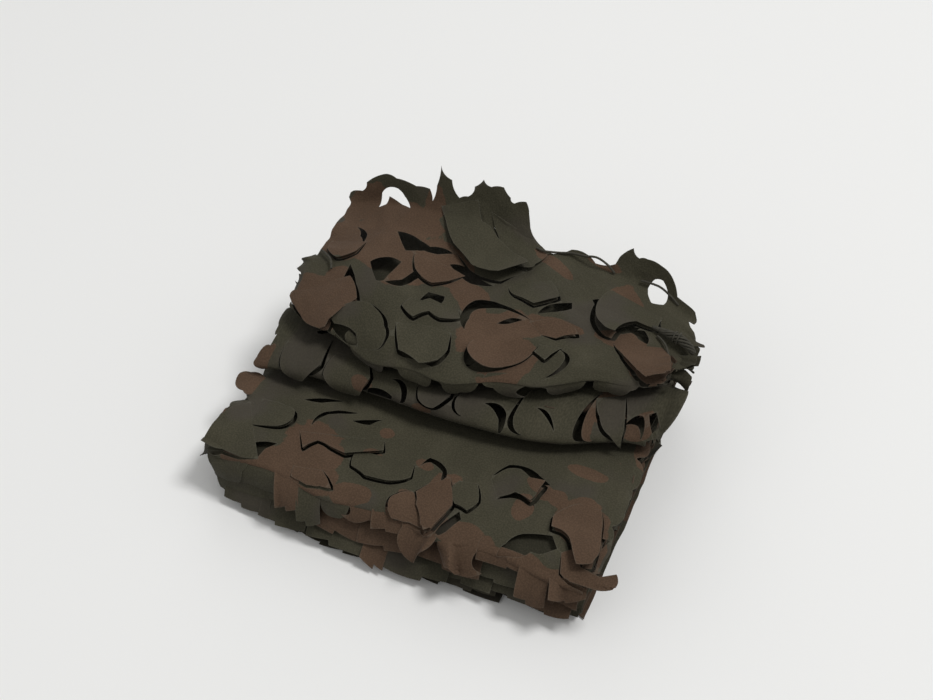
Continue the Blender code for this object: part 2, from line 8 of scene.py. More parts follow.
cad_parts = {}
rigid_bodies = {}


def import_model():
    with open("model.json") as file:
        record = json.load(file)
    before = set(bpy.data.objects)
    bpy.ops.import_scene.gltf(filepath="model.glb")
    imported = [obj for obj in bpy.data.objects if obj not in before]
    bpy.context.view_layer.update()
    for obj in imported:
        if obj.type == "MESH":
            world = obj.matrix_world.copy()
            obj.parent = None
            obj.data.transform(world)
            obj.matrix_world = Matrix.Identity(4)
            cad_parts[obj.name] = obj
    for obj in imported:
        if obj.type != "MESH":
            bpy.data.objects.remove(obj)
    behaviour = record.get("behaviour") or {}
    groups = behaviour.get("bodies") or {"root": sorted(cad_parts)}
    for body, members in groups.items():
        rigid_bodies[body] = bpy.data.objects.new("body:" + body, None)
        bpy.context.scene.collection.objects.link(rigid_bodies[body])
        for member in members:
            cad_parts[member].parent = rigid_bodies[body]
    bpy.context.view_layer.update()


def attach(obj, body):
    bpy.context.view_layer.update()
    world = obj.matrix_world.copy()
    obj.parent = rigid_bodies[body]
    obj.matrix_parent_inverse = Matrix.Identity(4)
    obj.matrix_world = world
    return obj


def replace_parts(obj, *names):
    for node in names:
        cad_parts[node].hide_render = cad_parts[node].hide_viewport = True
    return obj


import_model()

# A folded camouflage net: leaf-cut cloth on a cord net.  Metres, +X along the front folds, +Y to
# the back where the free edge stands up, +Z up.  The tables of leaves and patches are in mm.
draws = np.random.default_rng(7)

net = {
    "halfWidth": 0.201,
    "padHeight": 0.066,
    "rollHeight": 0.100,
    "middle": np.array([0.0, 0.1684, 0.0]),
    "standing": 0.085,  # tallest leaf of the free edge
    "standingMean": 0.040,
    "riseRadius": 0.012,
    "overhangFrom": 0.198,
    "overhangRadius": 0.014,
    "padHangs": 0.7,  # how much of the overhang the pad's top ply has
    "sway": 0.004,  # of the plies to the right and left
    "wander": 0.003,  # of each turn to the front and back
    "frontDip": 0.009,  # how far the pad falls at its front, and how soon
    "dipReach": 0.014,
    "rollSlope": 0.010,
    "rollSlopeFrom": 0.20,
    "rollGap": 0.009,
    "upperGap": 0.006,
    "riseSoon": 0.35,  # share of the upper part's height just behind its crease
    "soonReach": 0.018,
    # how far the turns bulge: as a share of their height, the roll's past the valley, the upper one's
    "turnShare": 0.55,
    "leastTurn": 0.0025,
    "noseReach": 0.003,
    "upperTurn": 0.014,
    "clothThickness": 0.0007,
    "lowest": 0.0012,  # least height of the cloth's middle over the floor
    # how far each ply's front and back turns are set in, mm, and its share of its group's height, 24ths
    "frontSet": [3, 6, 6, 1, 1, 8, 8, 0, 0, 18, 12, 36, 36, 24, 24, 3, 3],
    "backSet": [5, 5, 10, 10, 4, 4, 9, 9, 3, 3, 30, 30, 14, 14, 22, 22, 8],
    "share": [0, 3, 6, 9, 12, 15, 18, 21, 24, 0, 24, 16, 8, 0, 8, 16, 24],
    # lines of the bundle from above: x and y
    "frontLine": [(-0.21, 0.012), (-0.10, 0.004), (0.0, 0.0), (0.10, -0.003), (0.21, -0.006)],
    "valleyLine": [(-0.21, 0.122), (-0.10, 0.124), (0.0, 0.120), (0.10, 0.131), (0.21, 0.176)],
    "creaseLine": [(-0.21, 0.176), (-0.11, 0.141), (-0.04, 0.130), (0.03, 0.140), (0.11, 0.174),
                   (0.21, 0.219)],
    "backLine": [(-0.21, 0.322), (-0.08, 0.332), (0.06, 0.334), (0.21, 0.316)],
    # heights of the top ply at its front turn and at its back: x and z
    "creaseHeight": [(-0.21, 0.122), (-0.10, 0.118), (0.0, 0.120), (0.10, 0.122), (0.21, 0.118)],
    "backHeight": [(-0.21, 0.158), (-0.12, 0.172), (-0.04, 0.168), (0.03, 0.152), (0.12, 0.150),
                   (0.21, 0.130)],
    "edgeLean": [(-0.21, 0.1), (-0.13, 0.0), (-0.09, 0.1), (-0.02, 0.25), (0.05, 0.3), (0.21, 0.1)],
    # soft hills: x, y, reach and height
    "padFolds": [(-0.15, 0.07, 0.05, 0.003), (0.02, 0.06, 0.06, -0.003), (0.15, 0.09, 0.05, 0.003)],
    "topFolds": [(-0.13, 0.24, 0.05, 0.008), (-0.03, 0.27, 0.035, -0.010), (0.05, 0.24, 0.04, 0.006)],
}
padTop, rollLow, rollTop, upperLow, top = 8, 9, 10, 13, 16
plies = top + 1

wrinkles = {
    # height of the creases on each ply, mm
    "height": [0.3, 0.5, 0.7, 0.7, 0.8, 0.8, 0.8, 0.8, 1.6, 0.5, 1.2, 0.5, 0.5, 0.5, 0.5, 0.8, 2.2],
    "wide": 0.050,
    "narrow": 0.019,
    "shares": (0.7, 0.35, 0.3),  # of swells, ridges and fine ones
    "sideFrom": 0.178,  # beyond this the leaves at the sides bend up and down, by so much in sideReach
    "sideReach": 0.035,
    "sideBend": 0.0055,
}


def smoothThrough(x, rows):
    # Smooth curve through rows of x and value, with the mean slope at each row
    knots, values = np.array(rows, float).T
    slopes = np.gradient(values, knots)
    i = np.clip(np.searchsorted(knots, x) - 1, 0, len(knots) - 2)
    step = knots[i + 1] - knots[i]
    t = np.clip((x - knots[i]) / step, 0, 1)
    bend = step * t * (1 - t) * ((1 - t) * slopes[i] - t * slopes[i + 1])
    return values[i] + t * t * (3 - 2 * t) * (values[i + 1] - values[i]) + bend


def lineAt(name, x):
    # One of the bundle's own lines at x
    return smoothThrough(x, net[name])


def softHills(x, y, rows):
    # Sum of round hills: height times e to the minus (distance over reach) squared
    return sum(high * np.exp(-((x - atX) ** 2 + (y - atY) ** 2) / reach**2)
               for atX, atY, reach, high in rows)


def frontY(ply, x):
    # Where a ply turns at its front: the bundle's line, its own set-in and a slow sine
    line = np.where(ply < rollLow, lineAt("frontLine", x), lineAt("creaseLine", x))
    lowRoll = (ply >= rollLow) & (ply < upperLow) & (ply != rollTop)
    line = np.where(lowRoll, lineAt("valleyLine", x), line)
    pair = (ply + 1) // 2
    wander = net["wander"] * np.sin(x * (31 + 5 * pair) + 2.1 * pair)
    return line + np.array(net["frontSet"])[ply] / 1000 + wander


def backY(ply, x):
    # Where a ply turns at its back, the same way
    pair = ply // 2
    wander = net["wander"] * np.sin(x * (27 + 4 * pair) + 1.3 * pair)
    return lineAt("backLine", x) - np.array(net["backSet"])[ply] / 1000 + wander


def plyHeight(ply, x, y):
    # A ply's middle: its share of the height between its group's lowest and highest plies
    share = np.array(net["share"])[ply] / 24
    behindFront = np.maximum(y - lineAt("frontLine", x), 0)
    pad = net["padHeight"] + softHills(x, y, net["padFolds"])
    pad = pad - net["frontDip"] * np.exp(-behindFront / net["dipReach"])
    roll = net["rollHeight"] + net["rollSlope"] * np.maximum(y - net["rollSlopeFrom"], 0)
    low, high = lineAt("creaseHeight", x), lineAt("backHeight", x)
    crease, back = lineAt("creaseLine", x), lineAt("backLine", x)
    behind = np.maximum(y - crease, 0)
    soon = net["riseSoon"]
    rise = soon * (1 - np.exp(-behind / net["soonReach"])) + (1 - soon) * behind / (back - crease)
    upper = low + (high - low) * rise + softHills(x, y, net["topFolds"])
    lowPly, overPad, overRoll = 0.001, pad + net["rollGap"], roll + net["upperGap"]
    inPad = lowPly + share * (pad - lowPly)
    inRoll = overPad + share * (roll - overPad)
    inUpper = overRoll + share * (upper - overRoll)
    return np.where(ply < rollLow, inPad, np.where(ply < upperLow, inRoll, inUpper))


def turnAt(ply, t, x):
    # A turn is half an oval between the ends of two plies; the roll's is pushed to the valley
    following = ply + 1
    atBack = ply % 2 == 0
    start = np.where(atBack, backY(ply, x), frontY(ply, x))
    end = np.where(atBack, backY(following, x), frontY(following, x))
    low, high = plyHeight(ply, x, start), plyHeight(following, x, end)
    bulge = np.maximum(net["turnShare"] * np.abs(high - low), net["leastTurn"])
    nose = (start + end) / 2 - lineAt("valleyLine", x) + net["noseReach"]
    bulge = np.where(ply == rollLow, nose, np.where(ply == upperLow - 1, net["upperTurn"], bulge))
    part = (1 - np.cos(np.pi * t)) / 2
    out = np.where(atBack, 1, -1) * bulge * np.sin(np.pi * t)
    return start + (end - start) * part + out, low + (high - low) * part


def stretchLengths():
    # Lengths along the strip: a ply, its turn, the next ply and so on, and the standing edge
    lengths = []
    for ply in range(plies):
        index, middle = np.array([ply]), np.zeros(1)
        lengths.append(float(backY(index, middle)[0] - frontY(index, middle)[0]))
        if ply < top:
            t = np.linspace(0, 1, 13)
            turn = np.stack(turnAt(np.full(13, ply), t, np.zeros(13)), axis=-1)
            lengths.append(float(np.linalg.norm(np.diff(turn, axis=0), axis=1).sum()))
    return lengths + [net["standing"]]


lengths = stretchLengths()
starts = np.concatenate([[0.0], np.cumsum(lengths)])


def alongStrip(ply, behind):
    # Place along the strip that is so far behind a ply's front turn
    start = starts[2 * ply]
    return start + behind if ply % 2 == 0 else start + lengths[2 * ply] - behind


def placed(ply, u, behind, turn):
    # A place on the flat cloth, the way that turn gives there and the way across it
    turn = math.radians(turn)
    ahead = np.array([math.cos(turn), math.sin(turn)])
    return np.array([u / 1000, alongStrip(ply, behind / 1000)]), ahead, np.array([-ahead[1], ahead[0]])


def layFlat(u, s):
    # Folded place of the flat place u across and s along: along its ply or round its turn
    stretch = np.clip(np.searchsorted(starts, s, side="right") - 1, 0, len(lengths) - 1)
    t = (s - starts[stretch]) / np.array(lengths)[stretch]
    ply = stretch // 2
    side = np.sign(u) * np.maximum(np.abs(u) - net["overhangFrom"], 0)
    arc = side / net["overhangRadius"]
    hangs = np.where(ply == top, 1.0, np.where(ply == padTop, net["padHangs"], 0.0))
    x = u + net["sway"] * np.sin(s * 2.9 + 1.0) + hangs * (net["overhangRadius"] * np.sin(arc) - side)
    part = np.where(ply % 2 == 1, 1 - t, t)
    isTurn = (stretch % 2 == 1) & (ply < top)
    part = np.where(stretch == len(lengths) - 1, 1.0, part)
    front, back = frontY(ply, x), backY(ply, x)
    onPly = front + (back - front) * np.clip(part, 0, 1)
    turnY, turnZ = turnAt(np.minimum(ply, top - 1), np.clip(t, 0, 1), x)
    y = np.where(isTurn, turnY, onPly)
    z = np.where(isTurn, turnZ, plyHeight(ply, x, onPly))
    up = np.maximum(s - starts[-2], 0)  # the free edge turns up and stands
    ease = net["riseRadius"] * (1 - np.exp(-up / net["riseRadius"]))
    y = y + ease + up * lineAt("edgeLean", x)
    z = z + up - ease - hangs * net["overhangRadius"] * (1 - np.cos(arc))
    return np.stack([x, y, z], axis=-1) - net["middle"]


def unit(ways):
    # The same ways, each of length 1
    return ways / np.linalg.norm(ways, axis=-1, keepdims=True)


def framesOf(surface, u, s):
    # Place, way across, way along and outward normal, from differences of the surface
    step = 0.0006
    across = unit(surface(u + step, s) - surface(u - step, s))
    onward = unit(surface(u, s + step) - surface(u, s - step))
    return surface(u, s), across, onward, unit(np.cross(across, onward))


noiseTable = np.random.default_rng(11).uniform(-1, 1, (67, 67))


def softNoise(a, b, size, shift=0.0):
    # Random heights on a square net of that size, joined by smooth steps, from -1 to 1
    a, b = a / size + shift, b / size + 1.7 * shift
    i, j = np.floor(a).astype(int), np.floor(b).astype(int)
    p, q = a - i, b - j
    p, q = p * p * (3 - 2 * p), q * q * (3 - 2 * q)
    n = len(noiseTable)
    low = noiseTable[i % n, j % n] * (1 - p) + noiseTable[(i + 1) % n, j % n] * p
    high = noiseTable[i % n, (j + 1) % n] * (1 - p) + noiseTable[(i + 1) % n, (j + 1) % n] * p
    return low * (1 - q) + high * q


plyMiddles = np.array([starts[2 * ply] + lengths[2 * ply] / 2 for ply in range(plies)])


def creaseHeight(u, s):
    # Soft swells, sharp-topped ridges where a noise crosses zero, and finer ones
    height = np.interp(s, plyMiddles, wrinkles["height"]) / 1000
    swell = softNoise(u, s, wrinkles["wide"], 0.3)
    ridge = 1 - 3 * np.abs(softNoise(u + 0.3 * s, s, 0.8 * wrinkles["wide"], 5.1))
    fine = softNoise(u, s - 0.4 * u, wrinkles["narrow"], 9.7)
    swells, ridges, fines = wrinkles["shares"]
    return height * (swells * swell + ridges * np.maximum(ridge, -0.5) + fines * fine)


def sideBend(u, s):
    # Beyond a line near each side the cloth bends up or down, more with the square of the way
    beyond = np.maximum(np.abs(u) - wrinkles["sideFrom"], 0) / wrinkles["sideReach"]
    way = softNoise(np.sign(u) * 3.1, s, 0.031, 2.2) + 0.5 * softNoise(u, s, 0.013, 4.4)
    return wrinkles["sideBend"] * way * beyond**2


def clothAt(u, s):
    # The folded cloth with its creases: moved along the smooth fold's own normal
    place, _, _, normal = framesOf(layFlat, u, s)
    return place + normal * (creaseHeight(u, s) + sideBend(u, s))[..., None]


def clothFrames(flat):
    return framesOf(clothAt, *flat.T)


# Leaves.  Each is an arc cut through the cloth with its tongue inside it.  Rows: ply, u, place
# behind the ply's front turn, radius, half angle of the arc, the way to the arc's middle (0 is +u,
# 90 to the back), widest gap, curl of the tongue, and its dye: 1 brown, -1 green, 0 as printed
arcLeaves = [
    (10, -158, 8, 11, 85, -20, 6, 0, 0),
    (10, -47, -22, 15, 95, 24, 6, 0, 0),
    (10, 27, -12, 12, 90, -171, 3, 22, 0),
    (10, 54, -27, 18, 76, 38, 6, 0, 0),
    (10, 93, -14, 17, 75, -165, 4, 24, 0),
    (10, 99, -38, 27, 32, 61, 2.5, 0, 0),
    (10, 155, -18, 17, 95, -165, 6, 20, 1),
    (10, 194, -27, 11, 85, 59, 3, 20, 1),
    (16, 39, 38, 32, 98, -100, 2, 30, 1),
    (16, 86, 27, 22, 78, 5, 3.5, 34, -1),
]
# Open cuts by their ply, each a row of points of its edge clockwise: u, place behind the ply's
# front turn and, where it isn't 0, how far the edge to the next point bulges out
cuts = {16: [
    [(-140, 1, 1), (-138, 5, 1), (-128, 7), (-118, 9, 1), (-109, 9), (-104, 4, 1), (-111, -2, 1),
     (-125, -3, 1)],
    [(-166, 189), (-166, 212, 1), (-159, 220, 1), (-147, 220, 1), (-138, 210, 1), (-128, 193),
     (-139, 196), (-157, 207), (-158, 193)],
    [(150, 198, 1), (155, 213, 1), (164, 217, 1), (172, 206, 1), (171, 184, 1), (159, 177, 1)],
    [(-63, 67, 1), (-59, 85), (-41, 85, 1), (-40, 74), (-54, 77, -1)],
    [(57, 90, 2), (66, 110, 1), (84, 125), (87, 115, 1), (74, 100)],
    [(135, 92, 2), (147, 109, 1), (159, 114), (155, 101), (145, 90, -1)],
    [(-107, 77), (-91, 89), (-84, 106), (-80, 123), (-71, 116, 1), (-79, 95, 1), (-88, 81, 1)],
    [(-176, 150, 2), (-158, 136, 2), (-154, 112, -2), (-164, 130, -2)],
    [(-125, 150, 3), (-95, 149, 1), (-80, 143, 1), (-93, 134), (-104, 127, 1)],
    [(-132, 89, 2), (-115, 108, 1), (-101, 110), (-108, 78, 1), (-116, 72, 1)],
    [(-153, 79), (-141, 65), (-123, 39, 1), (-150, 44, 1)],
    [(-90, 138, 2), (-74, 148, 1), (-58, 147), (-72, 138, 1)],
    [(102, 142, 2), (118, 148, 2), (124, 138, 1), (112, 130, 1)],
    [(150, 98, 2), (164, 112, 3), (172, 84, 2), (160, 92, -2)],
    [(-56, 132, 2), (-40, 138), (-2, 128, 1), (-26, 121, 2)],
    [(-5, 57, 3), (-16, 75, 2), (-10, 98, 3), (11, 104, 2), (55, 78, -1), (21, 94, -2), (-1, 89, -3),
     (-6, 72, -1)],
    [(23, 73, 1), (34, 81, 1), (46, 78), (36, 73, 1)],
], 10: [
    [(46, 6, 1), (54, 9, 1), (66, 4, 1), (58, 1)],
    [(-75, -25, 1), (-61, -21, 1), (-48, -25, 1), (-51, -36), (-61, -38, 1), (-77, -37, 1)],
    [(204, -15), (210, -14), (219, -22), (213, -27)],
], 8: [
    [(-170, 1, 2), (-167, 16, 2), (-141, 24), (-150, 14), (-153, 4, 1)],
    [(-121, 62, 3), (-118, 86, 3), (-84, 102), (-112, 86, -2)],
    [(-146, 92, 2), (-106, 110), (-126, 96, 1)],
    [(47, -4), (52, 11), (63, 29), (68, 21), (59, 6)],
    [(4, 62, 1), (8, 77, 2), (29, 72, 1), (34, 62), (31, 54), (28, 66, -1), (12, 72, -2)],
    [(90, 53), (100, 65, 1), (111, 67), (129, 60), (116, 59, -1), (102, 59)],
    [(114, -5, 2), (118, 9, 2), (130, 26, 1), (156, 38), (165, 27), (155, 17, 1), (143, 13, 1),
     (134, 3)],
    [(200, 54), (209, 56), (204, 44)],
    [(-86, 90, 1), (-56, 104, -1), (-66, 92, 1)],
    [(-24, 56), (-12, 46), (-18, 40)],
    [(76, 80, 1), (86, 99, 1), (103, 102, 1), (120, 97), (134, 91), (127, 88), (114, 87), (102, 94),
     (87, 92)],
]}
# Leaves laid over the cloth that shows.  Rows: dye, slope at the hinge and how much it grows to the
# tip, degrees, the gap beside it, then the free edge clockwise from one end of the hinge to the
# other, as in the cuts
laidLeaves = {"rollCloth": [
    (0, 8, 8, 3, [(-88, 2), (-76, -14, 1), (-82, -32, 2), (-108, -38, 2), (-128, -26, 2), (-124, -6)]),
    (0, 8, 8, 3, [(-138, 0), (-134, -20, 1), (-150, -36, 2), (-174, -34, 2), (-184, -14)]),
    (-1, 7, 8, 3, [(10, 6), (12, -8, 1), (0, -22, 2), (-18, -18, 2), (-24, 0)]),
    (-1, 8, 4, 2.2, [(175, -5, 1), (186, -24), (186, -38), (174, -28, 1), (159, -16, 1), (149, -5)]),
], "upperCloth": [
    (1, 7, 4, 3, [(-146, 63, 2), (-124, 39, 1), (-133, 22, 1), (-142, 7), (-143, -3), (-150, -6),
        (-166, -5, 1), (-182, -2, 1), (-206, 4, 2), (-204, 15)]),
    (-1, 8, 8, 4, [(-106, 0), (-104, 4), (-109, 9), (-118, 9), (-128, 7), (-137, 5), (-142, 8, 1),
        (-139, 16, 1), (-128, 29, 1), (-113, 39, 2), (-95, 40, 2), (-82, 29, 2), (-76, 17, 2),
        (-82, 7)]),
    (1, 8, 4, 2.5, [(54, 76), (77, 87, 1), (89, 85, 2), (105, 70, -2), (86, 61), (70, 62)]),
    (1, 8, 6, 4, [(187, 88, 2), (202, 42, 2), (203, -4), (186, -2, 1), (170, 22, 1), (153, 46, 1),
        (141, 66)]),
    (0, 5, 2, 3.5, [(14, 207), (35, 191, 1), (29, 167, 2), (24, 159, 1), (10, 160, -1), (-10, 176),
        (-30, 196), (-38, 214)]),
    (-1, 7, 4, 3.5, [(-55, 223), (-46, 196, 1), (-22, 184, 1), (19, 164, 1), (23, 158), (3, 136, 1),
        (-35, 137), (-62, 153, 1), (-82, 185, 1), (-93, 209)]),
    (-1, 6, 6, 4, [(175, 155), (175, 120, 2), (153, 119, -4), (138, 75, 1), (127, 80, 1), (113, 104, 2),
        (110, 145, 2), (117, 171)]),
    (-1, 8, 0, 2.2, [(96, 49), (89, 37), (85, 26), (71, 37, -1), (73, 49)]),
    (0, 6, 0, 2.2, [(-36, 128), (-47, 108, 1), (-60, 96, 2), (-84, 108, 1), (-94, 130)]),
    (-1, 5, 6, 2.2, [(52, 150, 1), (70, 122, 2), (50, 100), (30, 112, 2), (14, 130)]),
    (0, 6, 4, 2.2, [(-150, 118), (-152, 96, 2), (-172, 84, 1), (-190, 98, 1), (-194, 118)]),
    (-1, 7, 6, 2.5, [(-20, 76), (-14, 66, 1), (-32, 54, 1), (-46, 58, -1), (-58, 46, 1), (-76, 58, 1),
        (-72, 72)]),
    (-1, 7, 6, 3, [(-15, 46), (-10, 26, 1), (-15, 12, 1), (-31, 3), (-56, 9, 1), (-73, 38)]),
], "padCloth": [
    (-1, 5, 4, 2.2, [(-152, 2), (-171, -1), (-192, 0, 1), (-205, -4), (-216, -4, -1), (-214, 30),
        (-209, 52), (-197, 70)]),
    (-1, 5, 2, 2.5, [(-187, 78), (-175, 77, 1), (-158, 73, 1), (-144, 68, 2), (-141, 53, 2),
        (-153, 42, 1), (-180, 38)]),
    (0, 8, 4, 2.5, [(-43, 78), (-37, 63), (-62, 49), (-70, 44), (-89, 46, -1), (-104, 47, -1),
        (-113, 30), (-128, 49)]),
    (0, 5, 2, 2.2, [(-83, 20), (-74, 14), (-65, 6), (-78, 5), (-91, 0), (-111, 0), (-113, 10)]),
    (1, 7, 5, 3.5, [(40, 1), (23, 0), (4, -6, 1), (-3, 3, 3), (-1, 18, 2), (12, 30)]),
    (1, 6, 2, 2.2, [(38, 63, 1), (55, 31, 1), (45, 2), (40, -4), (34, 4, -1), (21, 18, -1), (14, 31),
        (22, 48)]),
    (0, 9, 4, 3, [(76, 76, 1), (88, 91, 1), (102, 92), (114, 85), (130, 86), (127, 73, 1), (123, 60),
        (106, 65, 1), (90, 56)]),
    (1, 8, 4, 2.5, [(189, 85, 1), (197, 62), (202, 32), (203, 17, 1), (188, 14), (175, 35, -2),
        (162, 44), (153, 43), (150, 55, 1), (158, 72, 1), (168, 84)]),
    (1, 4, 0, 2, [(181, 34), (192, 16), (212, 10), (226, 15, 3), (227, -1, 2), (208, -4), (187, 0),
        (176, 6), (170, 25)]),
    (-1, 4, 2, 2.2, [(66, 66, 1), (76, 44, 1), (70, 30, -1), (56, 34, 1), (44, 50), (48, 64)]),
    (-1, 4, 3, 2.2, [(-2, 62), (2, 44, 2), (-16, 28, 1), (-40, 26, -1), (-58, 34, 2), (-62, 56)]),
]}
# Leaves that hang over the upper fold's front and round the sides.  Rows: ply, u, place behind the
# front turn, width, length, turn, kind, slope at the hinge, how much it grows, and dye
placedFlaps = {"rollCloth": [
    (10, -192, -30, 22, 17, 182, "round", 16, -20, 1), (10, -198, 0, 24, 14, 176, "leaf", 6, -40, -1),
], "upperCloth": [
    (16, -94, 6, 50, 22, -92, "round", 3, -70, -1), (16, -36, 5, 48, 24, -88, "leaf", 3, -66, -1),
    (16, 12, 6, 40, 20, -90, "round", 3, -70, -1), (16, 62, 5, 50, 22, -92, "fin", 3, -70, -1),
    (16, 112, 6, 44, 21, -88, "leaf", 3, -70, 0), (16, 158, 5, 40, 18, -90, "round", 3, -70, -1),
    (16, 196, 96, 60, 32, 6, "strip", 4, -30, -1), (16, 197, 58, 44, 30, -4, "round", 2, -36, 0),
    (16, 196, 132, 36, 30, 4, "fin", 4, -20, -1), (15, 196, 70, 60, 34, 2, "strip", 0, -10, -1),
    (16, -198, 62, 44, 24, 180, "leaf", 2, -50, -1), (16, -198, 24, 36, 20, 184, "strip", 0, -60, -1),
], "padCloth": [
    (8, -200, 94, 28, 30, 176, "round", 14, -16, 1), (8, -202, 62, 18, 20, 172, "round", 10, -20, -1),
    (6, -196, 4, 44, 42, 196, "round", -4, -36, -1), (4, -196, 34, 44, 24, 180, "strip", 0, -40, -1),
]}
# Strips that hang over the front, by ply.  Rows: u, width, length, turn from straight ahead, curl,
# dye and, where it isn't a strip, kind
frontStrips = {8: [
    (-187, 46, 40, -6, -84, -1, "round"), (-150, 44, 38, 2, -84, -1), (-118, 28, 42, 20, -50, 1),
    (-90, 26, 44, 14, -50, -1), (-58, 40, 26, -4, -50, -1, "leaf"), (-30, 44, 24, -8, -46, 1, "fin"),
    (0, 40, 24, 14, -46, 1), (36, 34, 38, -12, -40, 1, "round"), (76, 46, 40, 22, -40, 1, "fin"),
    (118, 50, 18, 6, -44, 1), (152, 30, 40, 4, -50, 1), (184, 34, 24, 16, -44, 1),
], 6: [
    (-176, 56, 48, 4, -88, -1), (-120, 50, 46, -5, -84, -1), (-64, 74, 42, 3, -58, 1),
    (6, 72, 39, 3, -58, 1), (68, 64, 36, 2, -58, 1), (122, 52, 30, -4, -60, -1),
    (168, 54, 34, 5, -54, 1),
], 4: [
    (-154, 56, 35, 3, -56, -1), (-106, 56, 39, -5, -50, -1), (-46, 68, 41, 3, -42, -1),
    (-2, 26, 42, 0, -40, 1), (42, 66, 38, 3, -42, -1), (96, 50, 30, -4, -52, 0),
    (140, 46, 24, 5, -54, -1), (180, 40, 24, -4, -54, 1),
], 2: [
    (-154, 62, 21, -3, -36, -1), (-100, 66, 32, 4, -32, -1), (-36, 68, 33, -3, -32, 0),
    (28, 66, 31, 3, -32, -1), (88, 60, 25, 0, -40, -1), (138, 52, 16, 4, -40, 0),
    (180, 40, 16, -3, -40, -1),
], 0: [
    (-156, 60, 10, 2, -6, -1), (-104, 66, 25, -3, -6, -1), (-40, 66, 27, 3, -6, 0),
    (24, 66, 28, 0, -6, -1), (88, 64, 21, 2, -6, -1), (150, 60, 8, -3, -6, -1),
]}
# Larger lobes at the sides: side, ply, place behind the front turn, half width and reach
largeLobes = [
    (-1, 6, 14, 17, 11), (-1, 7, 64, 12, 12), (-1, 8, 14, 22, 12), (1, 8, 40, 30, 13),
    (1, 8, 95, 26, 11), (1, 8, 136, 15, 12), (1, 13, 12, 22, 28), (1, 9, 20, 14, 10),
    (1, 13, 60, 30, 20), (1, 15, 80, 34, 24), (1, 16, 90, 44, 30), (1, 16, 140, 30, 29),
    (1, 10, -6, 28, 33), (1, 14, -4, 24, 28),
]
# Tips and dips of the standing edge: u, height and how far the edge to the next bulges out
skyline = [
    (-207, 20), (-205, 25, 1), (-189, 26, -2), (-184, 37, 2), (-161, 47, 1), (-149, 42, 1),
    (-124, 37, 1), (-108, 37, 1), (-104, 22, -1), (-100, 43, -1), (-96, 68, -3), (-84, 52, -2),
    (-75, 31, 1), (-66, 34, -2), (-60, 47, -1), (-51, 57, -2), (-42, 51, 1), (-28, 56, -1),
    (-19, 49, -2), (-14, 45, 1), (-1, 53, 1), (4, 42), (8, 28, -2), (25, 11, -1), (40, 4, -1),
    (57, 15, 1), (74, 16, 1), (88, 10, -2), (110, 20), (113, 30, 1), (126, 45, -2), (134, 37, 1),
    (143, 40, 1), (160, 41, 2), (176, 33, 1), (183, 19), (205, 18),
]
leafShape = {
    "arcStep": 0.0017,
    "hingeStep": 0.003,
    "plainBelow": 40,  # half angle of the arc, degrees, up to which it has no tip and no lean
    "apart": 0.0015,  # least distance between drawn leaves
    "notch": 0.0007,
    "tip": 0.16,  # most that a leaf's tip reaches past its arc, as a share of the radius
    "skew": 0.22,
    "twist": 0.004,
    "dip": 0.0016,  # how far the cloth round a leaf sinks, and how soon that fades
    "dipReach": 0.004,
}


def perPoint(made, flats):
    # A reader of the leaves' own values by name, each repeated for every point of its leaf
    counts = [len(flat) for flat in flats]
    return lambda name: np.repeat(np.array([getattr(one, name) for one in made]), counts, axis=0)


class Leaf:
    # An arc cut through the flat cloth and the tongue inside it.  The arc's radius grows towards
    # its tip, and the tip leans to one side
    def __init__(self, ply, u, behind, radius, half, turn, gap, curl, dye):
        self.middle, self.forward, self.sideways = placed(ply, u, behind, turn)
        self.radius, self.gap, self.dye = radius / 1000, gap / 1000, dye
        self.half, self.curl = math.radians(half), math.radians(curl)
        self.hinge = self.radius * math.cos(self.half)
        self.reach = self.radius - self.gap - self.hinge
        tip, skew, self.twist, self.cup = draws.uniform(-1, 1, 4)
        shaped = half > leafShape["plainBelow"]
        tip = leafShape["tip"] * max(tip, -0.3) if shaped else 0.0
        notch = leafShape["notch"] if curl else 0.0
        steps = max(6, round(2 * self.radius * self.half / leafShape["arcStep"]))
        parts = np.linspace(-1, 1, steps + 1)
        angle = parts * self.half
        point = 1 + tip * (1 - np.abs(parts)) ** 1.5
        lean = leafShape["skew"] * skew * self.radius * (1 - parts**2) if shaped else 0.0
        self.outer = self.spread(self.radius * point * np.cos(angle), self.radius * np.sin(angle) + lean)
        inner = self.radius - self.gap * (1 - parts**2)
        across = inner * np.sin(angle) - np.sign(parts) * notch
        self.inner = self.spread(inner * point * np.cos(angle), across + lean)
        self.hole = np.concatenate([self.outer, self.inner[::-1] if notch else self.inner[-2:0:-1]])
        self.centre = self.middle + self.forward * self.radius * 0.4

    def spread(self, ahead, across):
        # Flat places so far ahead of the arc's middle and so far across
        return self.middle + np.outer(ahead, self.forward) + np.outer(across, self.sideways)

    def hingeLine(self):
        # Evenly spaced points from one end of the arc to the other
        count = max(3, round(2 * self.radius * math.sin(self.half) / leafShape["hingeStep"]))
        return np.linspace(self.inner[0], self.inner[-1], count + 1)

    def onTongue(self, flat):
        # Whether flat places lie beyond the hinge and within the tongue's edge
        beyond = (flat - self.middle) @ self.forward - self.hinge
        inside = isInside(flat, self.inner) | (edgeDistance(flat, self.inner) < 2e-5)
        return (beyond > 1e-5) & inside


class Cut:
    # An open cut inside its edge: nothing bends
    curl = 0

    def __init__(self, edge):
        self.hole, self.centre = edge, edge.mean(axis=0)
        self.radius = np.linalg.norm(edge - self.centre, axis=1).max() * 0.8


def flatRows(ply, rows):
    # Rows of a cut or a leaf as places on the flat cloth and bulge, in metres
    return [(u / 1000, alongStrip(ply, behind / 1000), sum(bulge) / 1000) for u, behind, *bulge in rows]


